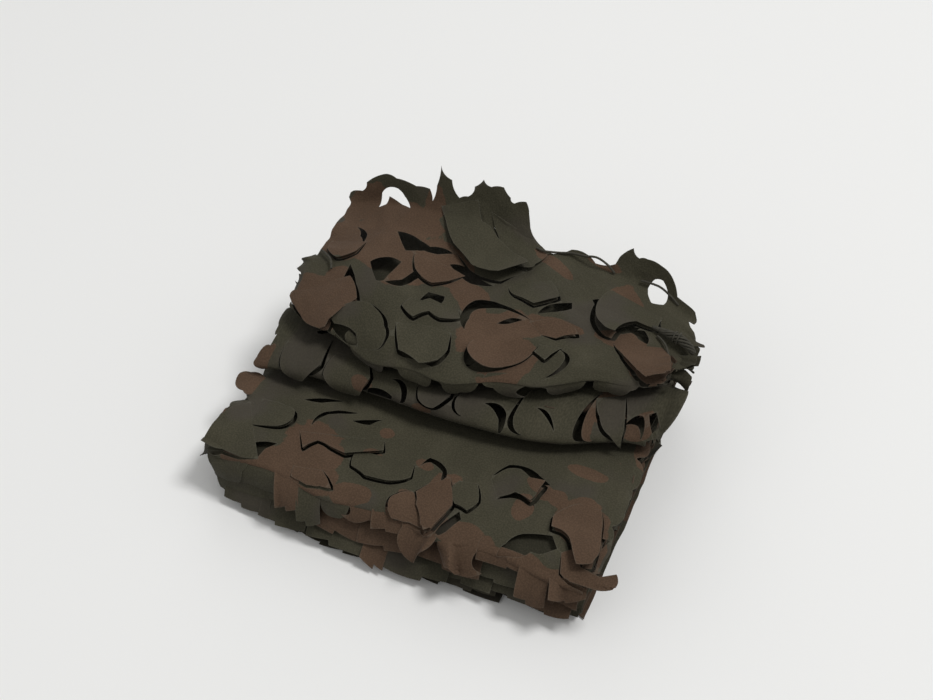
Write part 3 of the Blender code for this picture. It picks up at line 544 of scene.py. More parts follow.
def bendTongues(tongues, flats):
    # From its hinge a tongue bends evenly: ahead by sine and up by versine of the angle so far;
    # it also twists and is hollow across
    each = perPoint(tongues, flats)
    middle, forward, sideways, hinge = map(each, ("middle", "forward", "sideways", "hinge"))
    radius, reach = each("radius"), each("reach")
    local = np.concatenate(flats) - middle
    beyond = (local * forward).sum(1) - hinge
    aside = (local * sideways).sum(1)
    foot = middle + forward * hinge[:, None] + sideways * aside[:, None]
    place, across, onward, normal = clothFrames(foot)
    ahead = forward[:, :1] * across + forward[:, 1:] * onward
    angle = beyond / reach * each("curl")
    out = beyond * np.sinc(angle / np.pi)
    up = beyond * (1 - np.cos(angle)) / angle
    turned = normal * np.cos(angle)[:, None] - ahead * np.sin(angle)[:, None]
    part, side = np.clip(beyond / reach, 0, 1), aside / radius
    warp = (each("twist") * side + each("cup") * (side**2 - 0.3)) * part
    warp = warp * leafShape["twist"] * radius / 0.02
    return place + ahead * out[:, None] + normal * up[:, None] + turned * warp[:, None], turned


def isInside(points, polygon):
    # A point is inside where a ray from it crosses the edge an odd number of times
    x, y = points[:, 0, None], points[:, 1, None]
    (x1, y1), (x2, y2) = polygon.T, np.roll(polygon, -1, axis=0).T
    rise = np.where(y2 == y1, 1e-12, y2 - y1)
    return (((y1 > y) != (y2 > y)) & (x < (x2 - x1) * (y - y1) / rise + x1)).sum(axis=1) % 2 == 1


def edgeDistance(points, line):
    # Distance to the nearest of an open line's pieces
    step = line[1:] - line[:-1]
    offset = points[:, None] - line[:-1]
    part = np.clip((offset * step).sum(-1) / (step**2).sum(-1), 0, 1)
    return np.linalg.norm(offset - part[..., None] * step, axis=-1).min(axis=1)


def triangulate(lines, edges, output, near):
    # The points of the lines, and more where edges cross, joined by triangles that keep the edges
    corners = list(map(Vector, np.concatenate(lines).tolist()))
    made = geometry.delaunay_2d_cdt(corners, edges, [], output, near)
    return np.array(made[0]), np.array(made[2])


sides = {
    # least and most of each lobe's width, reach, bluntness and lean, and of the notch after it
    "pitch": (0.026, 0.05),
    "reach": (0.003, 0.0115),
    "power": (0.45, 1.6),
    "lean": (-0.25, 0.25),
    "notch": (0.002, 0.007),
    "drawnIn": 0.012,  # the plies under the pad's top one at the right, and those over it at the left
    "teeth": 14,
    "toothDepth": 0.010,
}


def sideLine(side):
    # One side of the strip: round and pointed lobes of drawn widths with notches between them
    end = starts[-2] + 0.012
    knots, shapes = [0.0], []
    while knots[-1] < end:
        knots.append(knots[-1] + draws.uniform(*sides["pitch"]))
        shapes.append([draws.uniform(*sides[name]) for name in ("reach", "power", "lean", "notch")])
    s = np.arange(0.003, end, 0.002)
    lobe = np.searchsorted(knots, s, side="right") - 1
    knots, shapes = np.array(knots), np.array(shapes)
    reach, power, lean, notch = shapes[lobe].T
    part = (s - knots[lobe]) / (knots[lobe + 1] - knots[lobe]) * 2 - 1
    part = np.clip(part + lean * (1 - part**2), -1, 1)
    reach = reach * (1 - np.abs(part) ** (2 * power)) - notch * np.abs(part) ** 8
    drawnIn = s < starts[2 * padTop] if side > 0 else s > starts[2 * rollLow]
    reach -= sides["drawnIn"] * drawnIn
    for lobeSide, ply, behind, width, far in largeLobes:
        if lobeSide == side:
            away = (s - alongStrip(ply, behind / 1000)) / (width / 1000)
            reach = np.maximum(reach, far / 1000 * np.sqrt(np.maximum(1 - away**2, 0)))
    return np.stack([side * (net["halfWidth"] + reach), s], axis=-1)


def bulged(rows, step=0.0018):
    # A line through rows of points whose pieces bulge to one side as a parabola does
    made = []
    for (x, y, bulge), (nextX, nextY, _) in zip(rows[:-1], rows[1:]):
        way = np.array([nextX - x, nextY - y])
        length = np.linalg.norm(way)
        t = np.arange(0, 1, 1 / max(1, round(length / step)))[:, None]
        out = np.array([-way[1], way[0]]) / length
        made.append(np.array([x, y]) + way * t + out * bulge * 4 * t * (1 - t))
    return np.concatenate(made + [[rows[-1][:2]]])


def outline():
    # The strip's edge: leaf-cut sides, a toothed first edge and the standing edge last
    teeth, half = sides["teeth"], net["halfWidth"]
    pitch = 2 * half / teeth
    first = [(-half - 0.004, 0.0, 0)]
    for tooth in range(teeth):
        middle = -half + (tooth + 0.5) * pitch
        first += [(middle, sides["toothDepth"], 0), (middle + pitch / 2, 0.002 * (tooth % 3), 0)]
    last = bulged([(u / 1000, starts[-2] + up / 1000, sum(bulge) / 1000) for u, up, *bulge in skyline])
    return [bulged(first), sideLine(1), last[::-1], sideLine(-1)[::-1]]


grid = {
    "fine": 0.0031,
    "side": 0.0046,
    "coarse": 0.014,
    "edge": 0.0021,
    "rowShare": 0.87,  # distance of rows as a share of the step
    "reach": 0.226,  # each way from the middle
    "seam": 0.24,  # each way too, past the outline
    "sideFrom": 0.170,
    # how far behind its front turn each ply is fine, mm, 8 if not given, and before its back turn
    "shown": {8: 150, 10: 45, 9: 25, 15: 20, 6: 34, 4: 34, 2: 34, 7: 10, 5: 10, 3: 10, 1: 10, 16: 200},
    "backShown": 0.024,
}


def gridPoints():
    # Rows of points across the flat cloth, every second one moved by half a step
    fine, side, coarse = grid["fine"], grid["side"], grid["coarse"]
    rows = []

    def fill(start, stop, step):
        # Evenly spaced rows between two places along the strip
        low, high = min(start, stop), max(start, stop)
        count = max(1, round((high - low) / (step * grid["rowShare"])))
        rows.extend((low + (high - low) * (k + 0.5) / count, step) for k in range(count))

    for ply in range(plies):
        length = lengths[2 * ply]
        shown = min(grid["shown"].get(ply, 8) / 1000, length)
        behind = min(grid["backShown"], length - shown)
        fill(alongStrip(ply, 0), alongStrip(ply, shown), fine)
        if behind > 0.004:
            fill(alongStrip(ply, shown), alongStrip(ply, length - behind), side)
            fill(alongStrip(ply, length - behind), alongStrip(ply, length), fine * 1.15)
        if ply < top:
            fill(starts[2 * ply + 1], starts[2 * ply + 2], fine)
    fill(starts[-2], starts[-1], fine)
    points = []
    for k, (s, step) in enumerate(rows):
        u = np.arange(-grid["reach"] + (k % 2) * step / 2, grid["reach"], step)
        if step == side:
            u = u[np.abs(u) > grid["sideFrom"]]
            if k % 3 == 0:
                inner = grid["sideFrom"] - 0.005
                u = np.concatenate([u, np.arange(-inner + (k % 2) * 0.006, inner, coarse)])
        points.append(np.stack([u, np.full(len(u), s)], axis=-1))
    return np.concatenate(points)


def clearOf(points, chain):
    # Points that share no cell, or a neighbour of their cell, with a point of the chain
    cell, rowLength = 0.00135, 16384
    taken = np.unique(np.floor(chain / cell).astype(int) @ [rowLength, 1])
    own = np.floor(points / cell).astype(int)
    near = np.zeros(len(points), bool)
    for a in (-1, 0, 1):
        for b in (-1, 0, 1):
            near |= np.isin((own + [a, b]) @ [rowLength, 1], taken)
    return points[~near]


def scatterLeaves(made, count, pickPlace, radii, halves, turns, gaps, curls):
    # Further leaves at drawn places, each kept if it stays clear of those already there
    for _ in range(count):
        ply, u, behind = pickPlace()
        row = [draws.uniform(*pair) for pair in (radii, halves, turns, gaps, curls)]
        leaf = Leaf(ply, u, behind, *row, 0)
        apart = [np.linalg.norm(leaf.centre - other.centre) - leaf.radius - other.radius
                 for other in made]
        if min(apart) > leafShape["apart"]:
            made.append(leaf)


# Patches of brown print, by ply: u, place behind the front turn, half width, half depth and turn
brownPatches = {16: [
    (-172, 128, 38, 44, 0), (-178, 192, 28, 34, 0), (-118, 116, 50, 38, 0), (-128, 165, 44, 36, 0),
    (-100, 204, 12, 34, 0), (-62, 126, 46, 28, -25), (-14, 100, 24, 20, -30), (-170, 24, 40, 32, 0),
    (-162, 55, 14, 22, 0), (-136, 28, 18, 14, 0), (28, 62, 44, 30, 15), (50, 26, 28, 34, 0),
    (84, 80, 22, 12, 0), (150, 80, 28, 24, 20), (182, 40, 24, 42, 20), (132, 150, 20, 38, 0),
    (45, 180, 36, 8, -30), (98, 206, 22, 8, 0),
], 10: [
    (162, -8, 12, 12, 0), (200, -24, 14, 10, 0), (-14, -28, 12, 9, 0), (-84, -22, 12, 8, 0),
], 8: [
    (-105, 38, 33, 34, 0), (-150, 2, 46, 16, 5), (-98, 10, 34, 20, 0), (-45, 6, 20, 12, 0),
    (26, 12, 30, 22, 0), (38, 48, 18, 26, 0), (-2, -14, 62, 9, 0), (78, 4, 36, 13, -10),
    (112, -8, 52, 12, 0), (126, 80, 14, 10, 0), (118, 52, 10, 16, 0), (163, 124, 22, 8, 0),
    (146, 80, 10, 10, 0), (176, 64, 26, 30, 25), (198, 34, 12, 32, 0), (160, -4, 44, 14, 0),
    (-44, 54, 12, 8, 0), (-18, 50, 9, 7, 0), (8, 66, 10, 6, 0), (-45, 88, 8, 7, 0),
]}


printed = {
    # how much each noise counts, its size and its shift: blotches, and how an edge breaks up
    "blotches": [(1.5, 0.062, 3.3), (0.9, 0.027, 6.1)],
    "edges": [(0.35, 0.016, 1.9), (0.2, 0.008, 8.2)],
    "blotchLess": 0.25,
    "bare": -0.8,  # between the listed patches
    "dyed": 0.7,
}


def brownField(u, s):
    # Above zero on brown print.  On the plies that show it is the highest of the patches' own
    # fields, one at the middle and zero at the edge; elsewhere soft noise makes large blotches
    patches = np.full(len(u), -1.0)
    for ply, rows in brownPatches.items():
        for atU, behind, wide, deep, turn in rows:
            cos, sin = math.cos(math.radians(turn)), math.sin(math.radians(turn))
            du = u - atU / 1000
            ds = (s - alongStrip(ply, behind / 1000)) * (1 if ply % 2 == 0 else -1)
            along, over = (du * cos + ds * sin) / wide * 1000, (ds * cos - du * sin) / deep * 1000
            patches = np.maximum(patches, 1 - along**2 - over**2)
    blotches, edge = [sum(much * softNoise(u, s, size, shift) for much, size, shift in printed[name])
                      for name in ("blotches", "edges")]
    byHand = (s > starts[2 * padTop - 2]) & (s < alongStrip(padTop, 0.15)) | (s > starts[2 * top - 2])
    byHand |= (s > alongStrip(rollLow, 0.06)) & (s < alongStrip(rollTop, 0.08))
    elsewhere = np.where(byHand, printed["bare"], blotches - printed["blotchLess"])
    return np.maximum(patches, elsewhere) + edge


def dyed(flat, dye):
    # The brown field, or a leaf's own dye
    return np.where(dye == 0, brownField(*flat.T), printed["dyed"] * dye)


seams = [alongStrip(rollLow, 0.09), alongStrip(upperLow, 0.08)]  # where the strip is parted


def meshStrip():
    # The flat cloth as triangles between its outline, its holes and the points of the grid
    border = outline()
    closed = np.concatenate(border)
    points, edges = [], []

    def chain(line, isClosed):
        # A line of points with an edge from each to the next
        start, count = sum(map(len, points)), len(line)
        points.append(line)
        first = np.arange(count if isClosed else count - 1)
        edges.append(np.stack([start + first, start + (first + 1) % count], axis=-1))

    chain(closed, True)
    for leaf in leaves:
        chain(leaf.hole, True)
        if leaf.curl:
            chain(leaf.hingeLine(), False)
    for s in seams:
        u = np.linspace(-grid["seam"], grid["seam"], 41)
        chain(np.stack([u, np.full(len(u), s)], axis=-1), False)
    points.append(clearOf(gridPoints(), np.concatenate(points)))
    print("points on the flat cloth:", sum(map(len, points)))
    flat, triangles = triangulate(points, np.concatenate(edges).tolist(), 0, 1e-5)
    middles = flat[triangles].mean(axis=1)
    right, left = border[1], border[3][::-1]
    keep = middles[:, 0] < np.interp(middles[:, 1], right[:, 1], right[:, 0])
    keep &= middles[:, 0] > np.interp(middles[:, 1], left[:, 1], left[:, 0])
    ends = np.nonzero((middles[:, 1] > starts[-2] - 0.01) | (middles[:, 1] < 0.02))[0]
    keep[ends] = isInside(middles[ends], closed)
    for leaf in leaves:
        low, high = leaf.hole.min(axis=0), leaf.hole.max(axis=0)
        near = np.nonzero(keep & (middles > low).all(axis=1) & (middles < high).all(axis=1))[0]
        keep[near] = ~isInside(middles[near], leaf.hole)
    part = np.searchsorted(seams, middles[:, 1])
    return flat, [triangles[keep & (part == k)] for k in range(len(seams) + 1)]


def bendLeaves(flat, place, normal):
    # Each tongue leaves the cloth, and the cloth round it sinks a little
    dye = np.zeros(len(flat))
    order = np.argsort(flat[:, 1])
    sortedS = flat[order, 1]
    curled = [leaf for leaf in leaves if leaf.curl]
    tongues = []
    for leaf in curled:
        reach = leaf.radius * 1.4
        near = order[slice(*np.searchsorted(sortedS, leaf.middle[1] + np.array([-reach, reach])))]
        near = near[np.abs(flat[near, 0] - leaf.middle[0]) < reach]
        on = leaf.onTongue(flat[near])
        beside = near[~on]
        away = edgeDistance(flat[beside], leaf.outer[::3])
        dip = leafShape["dip"] * np.exp(-away / leafShape["dipReach"])
        place[beside] -= normal[beside] * dip[:, None]
        tongues.append(near[on])
        dye[near[on]] = leaf.dye
    moved = np.concatenate(tongues)
    place[moved], normal[moved] = bendTongues(curled, [flat[tongue] for tongue in tongues])
    return dye


# Painted shade: a place is drawn darker where the cloth round it stands higher, in folds, gaps, holes and
# under overhangs
shade = {
    "cell": 0.003,
    "reach": 4,  # cells each way
    "spread": 2.3,  # cells
    "from": 0.0012,
    "full": 0.0085,
    "gain": 1.5,
    # the roll gets at least this painted shade all over, for the shadow of the upper cloth over it
    "roll": 0.3,  # least on the roll, which lies under the upper cloth
}


class Heights:
    # The highest place of the cloth in every cell of a grid seen from above
    def __init__(self, place):
        self.low = place[:, :2].min(axis=0) - 0.02
        self.size = ((np.ptp(place[:, :2], axis=0) + 0.04) / shade["cell"]).astype(int) + 1
        self.top = np.zeros(self.size)
        np.maximum.at(self.top, tuple(self.cellsOf(place).T), place[:, 2])

    def cellsOf(self, place):
        # Row and column of the cell under each place
        return np.clip(((place[:, :2] - self.low) / shade["cell"]).astype(int), 0, self.size - 1)

    def shadeOf(self, place):
        # How far the cells around stand higher, from none to full, nearer cells counting more: the painted
        # shade of each place
        cells, total, weights = self.cellsOf(place), np.zeros(len(place)), 0
        reach = range(-shade["reach"], shade["reach"] + 1)
        for step in ((i, j) for i in reach for j in reach):
            weight = math.exp(-(step[0] ** 2 + step[1] ** 2) / shade["spread"] ** 2)
            i, j = np.clip(cells + step, 0, self.size - 1).T
            higher = np.clip((self.top[i, j] - place[:, 2] - shade["from"]) / shade["full"], 0, 1)
            total, weights = total + weight * higher, weights + weight
        return np.clip(shade["gain"] * total / weights, 0, 1)


def addPiece(name, mesh, finish):
    # The mesh as a piece of the net, with its material
    mesh.materials.append(finish)
    piece = bpy.data.objects.new(name, mesh)
    bpy.context.scene.collection.objects.link(piece)
    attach(piece, "root")
    return piece


def clothMesh(name, flat, triangles, place, normal, brown, inside):
    # A sheet of real thickness: two skins half of it off the middle and a rim along every cut
    used, triangles = np.unique(triangles, return_inverse=True)
    triangles = triangles.reshape(-1, 3)
    place, normal, count = place[used], normal[used], len(used)
    half = net["clothThickness"] / 2
    around = np.concatenate([triangles[:, [0, 1]], triangles[:, [1, 2]], triangles[:, [2, 0]]])
    rim = around[~np.isin(around @ [count, 1], around @ [1, count])]
    a, b = rim.T
    rims = np.concatenate([np.stack([b, a, a + count], -1), np.stack([b, a + count, b + count], -1)])
    faces = np.concatenate([triangles, triangles[:, ::-1] + count, rims]).astype(np.int32)
    mesh = bpy.data.meshes.new(name)
    mesh.vertices.add(2 * count)
    mesh.vertices.foreach_set("co", np.concatenate([place + normal * half, place - normal * half]).ravel())
    mesh.loops.add(faces.size)
    mesh.loops.foreach_set("vertex_index", faces.ravel())
    mesh.polygons.add(len(faces))
    mesh.polygons.foreach_set("loop_start", np.arange(0, faces.size, 3, dtype=np.int32))
    mesh.update(calc_edges=True)
    mesh.shade_smooth()
    mesh.set_sharp_from_angle(angle=math.radians(50))
    onRim = np.zeros(count)
    onRim[rim.ravel()] = 1
    uv = np.tile(flat[used], (2, 1))[faces.ravel()]
    mesh.uv_layers.new(name="flat").data.foreach_set("uv", uv.ravel())
    # the inside attribute is the painted shade of each place, from none to full
    for label, values in (("brown", np.tile(brown[used], 2)), ("rim", np.tile(onRim, 2)),
                          ("under", np.repeat([0.0, 1.0], count)), ("inside", np.tile(inside[used], 2))):
        mesh.attributes.new(label, "FLOAT", "POINT").data.foreach_set("value", values)
    print(name, "triangles:", len(faces))
    return mesh


# Flaps: leaves of the cloth that lie over it or hang from a fold.  Outlines of their kinds: rows of
# across, ahead and bulge, in parts of the width and length; the hinge closes each
flapKinds = {
    "round": [(-0.5, 0, 0.10), (-0.40, 0.66, 0.16), (0.10, 1.0, 0.16), (0.50, 0.42, 0.10), (0.46, 0, 0)],
    "fin": [(-0.5, 0, 0.14), (-0.30, 0.75, 0.12), (0.35, 1.0, -0.16), (0.28, 0.45, -0.05), (0.5, 0, 0)],
    "leaf": [(-0.42, 0, 0.16), (-0.36, 0.55, 0.10), (0.06, 1.0, 0.14), (0.42, 0.40, 0.12), (0.40, 0, 0)],
    "hook": [(-0.3, 0, 0.12), (-0.45, 0.5, 0.16), (-0.10, 1.0, 0.16), (0.50, 0.85, -0.22),
             (0.10, 0.45, -0.10), (0.45, 0, 0)],
    "strip": [(-0.5, 0, 0), (-0.50, 0.94, 0.01), (-0.12, 0.88, 0), (-0.10, 1.0, 0.01), (0.50, 0.90, 0),
              (0.5, 0, 0)],
    "tail": [(-0.4, 0, 0.08), (-0.5, 0.80, 0.06), (-0.30, 1.0, -0.16), (0.10, 0.74, -0.12),
             (0.42, 0.98, 0.06), (0.38, 0, 0)],
}
laying = {
    "side": 0.197,  # beyond this a leaf goes straight on from the cloth below it
    "warp": 0.0035,
    "sunk": 0.0003,
    "above": 0.0004,
    "tipAbove": 0.0006,
    # past a crease: onward, lift and fall with the square of the way
    "onward": 0.85,
    "lift": 0.2,
    "fall": 14,
    # gap beside a laid leaf: its inner side, and where on the top ply it closes, and how soon
    "under": 0.0012,
    "closed": 0.150,
    "closing": 0.015,
}


def slopes(rise, curl):
    # In radians; a curl of less than a degree counts as one
    return math.radians(rise), math.radians(curl if abs(curl) > 1 else 1)


class Flap:
    # A leaf that leaves the cloth at its hinge and sticks out from it.  Its slope starts at rise
    # and grows by curl over its length
    hug, crease = 0, 0

    def __init__(self, ply, u, behind, width, length, turn, kind, rise, curl, dye):
        self.middle, self.forward, self.sideways = placed(ply, u, behind, turn)
        self.wide, self.length, self.dye = width / 1000, length / 1000, dye
        self.rise, self.curl = slopes(rise, curl)
        self.twist, self.cup, flip = draws.uniform(-1, 1, 3)
        rows = [(a * self.wide, b * self.length, bulge * self.wide) for a, b, bulge in flapKinds[kind]]
        if flip < 0:
            rows = [(-a, b, bulge) for (a, b, _), (_, _, bulge) in zip(rows[::-1], rows[-2::-1] + rows[:1])]
        self.edge = bulged(rows, grid["edge"])

    def mesh(self):
        # Points inside the outline and on it, joined by triangles
        step = grid["fine"]
        low, high = self.edge.min(axis=0), self.edge.max(axis=0)
        a, b = np.meshgrid(np.arange(low[0], high[0], step),
                           np.arange(low[1], high[1], step * grid["rowShare"]))
        a = a + (np.arange(len(a))[:, None] % 2) * step / 2
        inner = np.stack([a.ravel(), b.ravel()], axis=-1)
        inner = clearOf(inner[isInside(inner, self.edge)], self.edge)
        count = len(self.edge)
        edges = [(k, (k + 1) % count) for k in range(count)]
        local, triangles = triangulate([self.edge, inner], edges, 1, 1e-6)
        return local, triangles[isInside(local[triangles].mean(axis=1), self.edge)]


class LaidLeaf(Flap):
    # A leaf that keeps along the cloth below, drawn by its free edge between the ends of its hinge.
    # Past its crease, the front turn, it goes straight on
    hug = 1

    def __init__(self, ply, dye, rise, curl, gap, rows):
        rows = flatRows(ply, rows)
        points = np.array(rows)[:, :2]
        self.middle = (points[0] + points[-1]) / 2
        self.sideways = unit(points[0] - points[-1])
        self.forward = np.array([self.sideways[1], -self.sideways[0]])
        local = (points - self.middle) @ np.stack([self.sideways, self.forward], -1)
        self.edge = bulged([(a, b, -row[2]) for (a, b), row in zip(local, rows)], grid["edge"])
        self.wide, self.length = 2 * np.abs(local[:, 0]).max(), local[:, 1].max()
        self.rise, self.curl = slopes(rise, curl)
        self.dye, self.gap = dye, gap / 1000
        self.crease = 0 if ply == rollTop else alongStrip(ply, 0)
        self.twist, self.cup = draws.uniform(-0.5, 0.5, 2)

    def besideIt(self):
        # The gap along its free edge, closed at the hinge and towards the back of the top ply
        flat = self.middle + self.edge @ np.stack([self.sideways, self.forward])
        way = np.gradient(flat, axis=0)
        out = unit(np.stack([-way[:, 1], way[:, 0]], -1))
        wide = 1 - np.linspace(-1, 1, len(flat))[:, None] ** 4
        wide *= np.clip((alongStrip(top, laying["closed"]) - flat[:, 1:]) / laying["closing"], 0.02, 1)
        outer, inner = flat + out * self.gap * wide, flat - out * laying["under"] * wide
        return np.concatenate([outer, inner[-2:0:-1]])


def foldFlaps(flaps, flats):
    # Folded places and normals of all the flaps' points, each flap with its own sizes
    each = perPoint(flaps, flats)
    aside, ahead = np.concatenate(flats).T
    forward, length, rise, curl = map(each, ("forward", "length", "rise", "curl"))
    foot = each("middle") + each("sideways") * aside[:, None]
    flat = foot + forward * ahead[:, None]
    place, across, onward, normal = clothFrames(foot)
    way = forward[:, :1] * across + forward[:, 1:] * onward
    ahead = np.maximum(ahead, 0)
    slope = rise + curl * ahead / length
    out = (np.sin(slope) - np.sin(rise)) * length / curl
    part, side = ahead / length, aside / each("wide")
    warp = each("twist") * side * part + each("cup") * (4 * side**2 - 0.5) * part
    up = (np.cos(rise) - np.cos(slope)) * length / curl + laying["warp"] * warp - laying["sunk"]
    straight = place + way * out[:, None] + normal * up[:, None]
    turned = normal * np.cos(slope)[:, None] - way * np.sin(slope)[:, None]
    u = np.clip(flat[:, 0], -laying["side"], laying["side"])
    beyond = np.minimum(flat[:, 1] - each("crease"), 0)
    below, across, onward, upward = clothFrames(np.stack([u, flat[:, 1] - beyond], -1))
    above = laying["lift"] * beyond - laying["fall"] * beyond**2
    above += up + laying["above"] + laying["tipAbove"] * np.minimum(part * 6, 1)
    hugging = below + across * (flat[:, 0] - u)[:, None] + upward * above[:, None]
    hugging += onward * laying["onward"] * beyond[:, None]
    hug = each("hug")[:, None]
    return flat, hug * hugging + (1 - hug) * straight, unit(hug * upward + (1 - hug) * turned)


def keepOffFloor(place):
    # What would go under the floor lies on it instead, pushed outwards by a share of that
    nearMiddle, share = 0.01, 0.6
    below = np.maximum(net["lowest"] - place[:, 2], 0)
    far = np.linalg.norm(place[:, :2], axis=1, keepdims=True)
    place[:, :2] += place[:, :2] / np.maximum(far, nearMiddle) * below[:, None] * share
    place[:, 2] += below
    return place


def layFlaps(flaps):
    # All the flaps of a group as what clothMesh takes
    meshes = [flap.mesh() for flap in flaps]
    counts = np.array([len(local) for local, _ in meshes])
    first = np.cumsum(counts) - counts
    faces = np.concatenate([triangles + start for (_, triangles), start in zip(meshes, first)])
    flat, place, normal = foldFlaps(flaps, [local for local, _ in meshes])
    dye = np.repeat([flap.dye for flap in flaps], counts)
    return flat, faces, keepOffFloor(place), normal, dyed(flat, dye)


def drawnFlaps(plies, count, u, behind, width, length, turn, kinds, rise, curl):
    # Flaps with drawn places and sizes; a place below zero is measured from the back turn
    made = []
    for _ in range(count):
        ply, atU, atBehind = int(draws.choice(plies)), draws.uniform(*u), draws.uniform(*behind)
        if behind[0] < 0:
            atBehind += lengths[2 * ply] * 1000
        way, dye = draws.uniform(*turn), int(draws.choice([1, -1, 0], p=[0.3, 0.3, 0.4]))
        made.append(Flap(ply, atU, atBehind, draws.uniform(*width), draws.uniform(*length), way,
                         str(draws.choice(kinds)), draws.uniform(*rise), draws.uniform(*curl), dye))
    return made


shownPly = {"padCloth": padTop, "rollCloth": rollTop, "upperCloth": top}
laid = {name: [LaidLeaf(shownPly[name], *row) for row in rows] for name, rows in laidLeaves.items()}
leaves = [Leaf(*row) for row in arcLeaves]
leaves += [Cut(bulged(flatRows(ply, rows + rows[:1]))[:-1])
           for ply, group in cuts.items() for rows in group]
leaves += [Cut(leaf.besideIt()) for group in laid.values() for leaf in group if leaf.gap]
scatterLeaves(leaves, 180, lambda: (int(draws.choice(range(0, 16, 2))), draws.uniform(-190, 190),
                                    lengths[0] * 1000 - draws.uniform(-4, 6)),
              (12, 20), (70, 115), (80, 100), (1.5, 4), (-60, -35))
scatterLeaves(leaves, 16, lambda: (top, draws.uniform(-185, 185), draws.uniform(10, 138)),
              (10, 17), (50, 100), (-180, 180), (1.5, 4), (10, 35))
scatterLeaves(leaves, 10, lambda: (padTop, draws.uniform(-185, 185), draws.uniform(12, 110)),
              (10, 16), (40, 100), (-180, 180), (1.0, 3), (6, 22))
print("leaves:", len(leaves))

soft = ("round", "leaf", "fin", "hook", "tail")
atBack = ("strip", "round", "tail", "fin")
padSides, upperSides = range(1, 9), (9, 10, 13, 14, 15, 16)
frontFlaps = [Flap(ply, u, 5, width, length, turn - 90, *(kind or ["strip"]), 2, curl, dye)
              for ply, rows in frontStrips.items() for u, width, length, turn, curl, dye, *kind in rows]
flapGroups = {
    "padCloth": {
        "FrontFlaps": frontFlaps + [Flap(*row) for row in placedFlaps["padCloth"]],
        "BackFlaps": drawnFlaps((0, 2, 4, 6), 48, (-190, 190), (-10, -2), (28, 50), (16, 26), (80, 100),
                                atBack, (0, 6), (-85, -60)),
        "SideFlaps": drawnFlaps(padSides, 56, (178, 190), (10, 290), (26, 48), (12, 20), (-20, 20),
                                soft, (-5, 5), (-70, -30))
        + drawnFlaps(padSides, 60, (-200, -188), (10, 290), (24, 44), (14, 26), (160, 200),
                     soft, (-5, 5), (-60, -20)),
        "TopFlaps": laid["padCloth"],
    },
    "rollCloth": {
        "Flaps": laid["rollCloth"] + [Flap(*row) for row in placedFlaps["rollCloth"]],
    },
    "upperCloth": {
        "TopFlaps": laid["upperCloth"] + [Flap(*row) for row in placedFlaps["upperCloth"]],
        "SideFlaps": drawnFlaps(upperSides, 26, (186, 196), (10, 180), (26, 46), (13, 22), (-20, 20),
                                ("round", "leaf", "strip"), (-5, 5), (-60, -25))
        + drawnFlaps(upperSides, 26, (-192, -182), (10, 180), (24, 44), (12, 22), (160, 200),
                     soft, (-5, 5), (-70, -30)),
        "BackFlaps": drawnFlaps((8, 10, 12, 14), 44, (-190, 190), (-10, -2), (28, 50), (16, 28),
                                (80, 100), atBack, (0, 6), (-85, -60)),
    },
}


def addCloth(finish):
    # Three sheets, each on the one before, with the leaves laid on them and hung from them.  How much
    # painted shade a place gets inside the folds follows from the heights of all that lies round it
    flat, parts = meshStrip()
    place, _, _, normal = clothFrames(flat)
    dye = bendLeaves(flat, place, normal)
    place = keepOffFloor(place)
    brown = dyed(flat, dye)
    flaps = {name: {f"{name[:-5]}{label}": layFlaps(made) for label, made in group.items()}
             for name, group in flapGroups.items()}
    print("flaps laid")
    lying = flat[:, 1] < starts[-2]
    middles = np.concatenate([place[triangles].mean(axis=1) for triangles in parts[:2]])
    onTop = [sheet[2] for group in flaps.values() for sheet in group.values()]
    heights = Heights(np.concatenate([place[lying], middles] + onTop))

    def addSheet(name, flat, faces, place, normal, brown):
        # A piece of the cloth with the painted shade of each of its places; on the roll never less than a
        # set share, for the shadow of the upper cloth
        dark = np.maximum(heights.shadeOf(place), shade["roll"] if name.startswith("roll") else 0)
        piece = addPiece(name, clothMesh(name, flat, faces, place, normal, brown, dark), finish)
        return piece

    ends = [0, *seams, starts[-2] + net["standingMean"]]
    for k, (name, group) in enumerate(flaps.items()):
        piece = addSheet(name, flat, parts[k], place, normal, brown)
        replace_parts(piece, "garnish_cloth")
        loose = [addSheet(label, *sheet) for label, sheet in group.items()]
        float(ends[k + 1] - ends[k])


# Cords of the net that come out of the cloth: rows of u, place behind the top ply's front turn,
# and height above the cloth, mm
cords = {
    "radius": 0.0013,
    "strands": 3,
    "lay": 0.007,  # length of one turn of its strands
    "ridge": 0.22,  # depth of the grooves between them, as a share of the radius
    "step": 0.0006,
    "overCloth": 0.001,
    "routes": {
        "net_strand_top": ("netStrandTop", [
            (20, 197, 0.6), (30, 193, 3), (44, 197, 1), (60, 201, 1), (76, 203, 4), (92, 210, 7),
            (104, 206, 3), (112, 199, 0.6)]),
        "net_strand_arch": ("netStrandArch", [
            (141, 204, 0.6), (150, 206, 1.2), (163, 208, 1.5), (176, 205, 1.2), (186, 200, 0.6)]),
        "net_strand_side": ("netStrandSide", [
            (178, 108, 0.8), (184, 100, 2), (189, 90, 2.5), (193, 78, 1.5), (196, 68, 0.8)]),
        "net_strand_left": ("netStrandLeft", [
            (-196, 92, 0.8), (-186, 86, 2), (-176, 78, 2), (-170, 66, 0.8)]),
    },
    "hankRoute": [(170, 121, 1), (181, 118, 1.5), (191, 113, 2), (200, 108, 2.5), (207, 104, 3),
                  (212, 101, 5)],
    "hankRadii": [2.0, 3.4, 4.8, 5.2, 4.6, 3.2],
    "hankPoints": 90,
    "hankStrands": 7,
    "hankTurns": 1.1,
    "ties": (0.46, 0.53),  # places of the tie along the bunch
    "tieRadius": 0.0009,
    "tieOff": 0.0006,
    "tieLay": 0.004,
    "dark": (0.022, 0.020, 0.014, 1),
    "light": (0.060, 0.054, 0.036, 1),
}


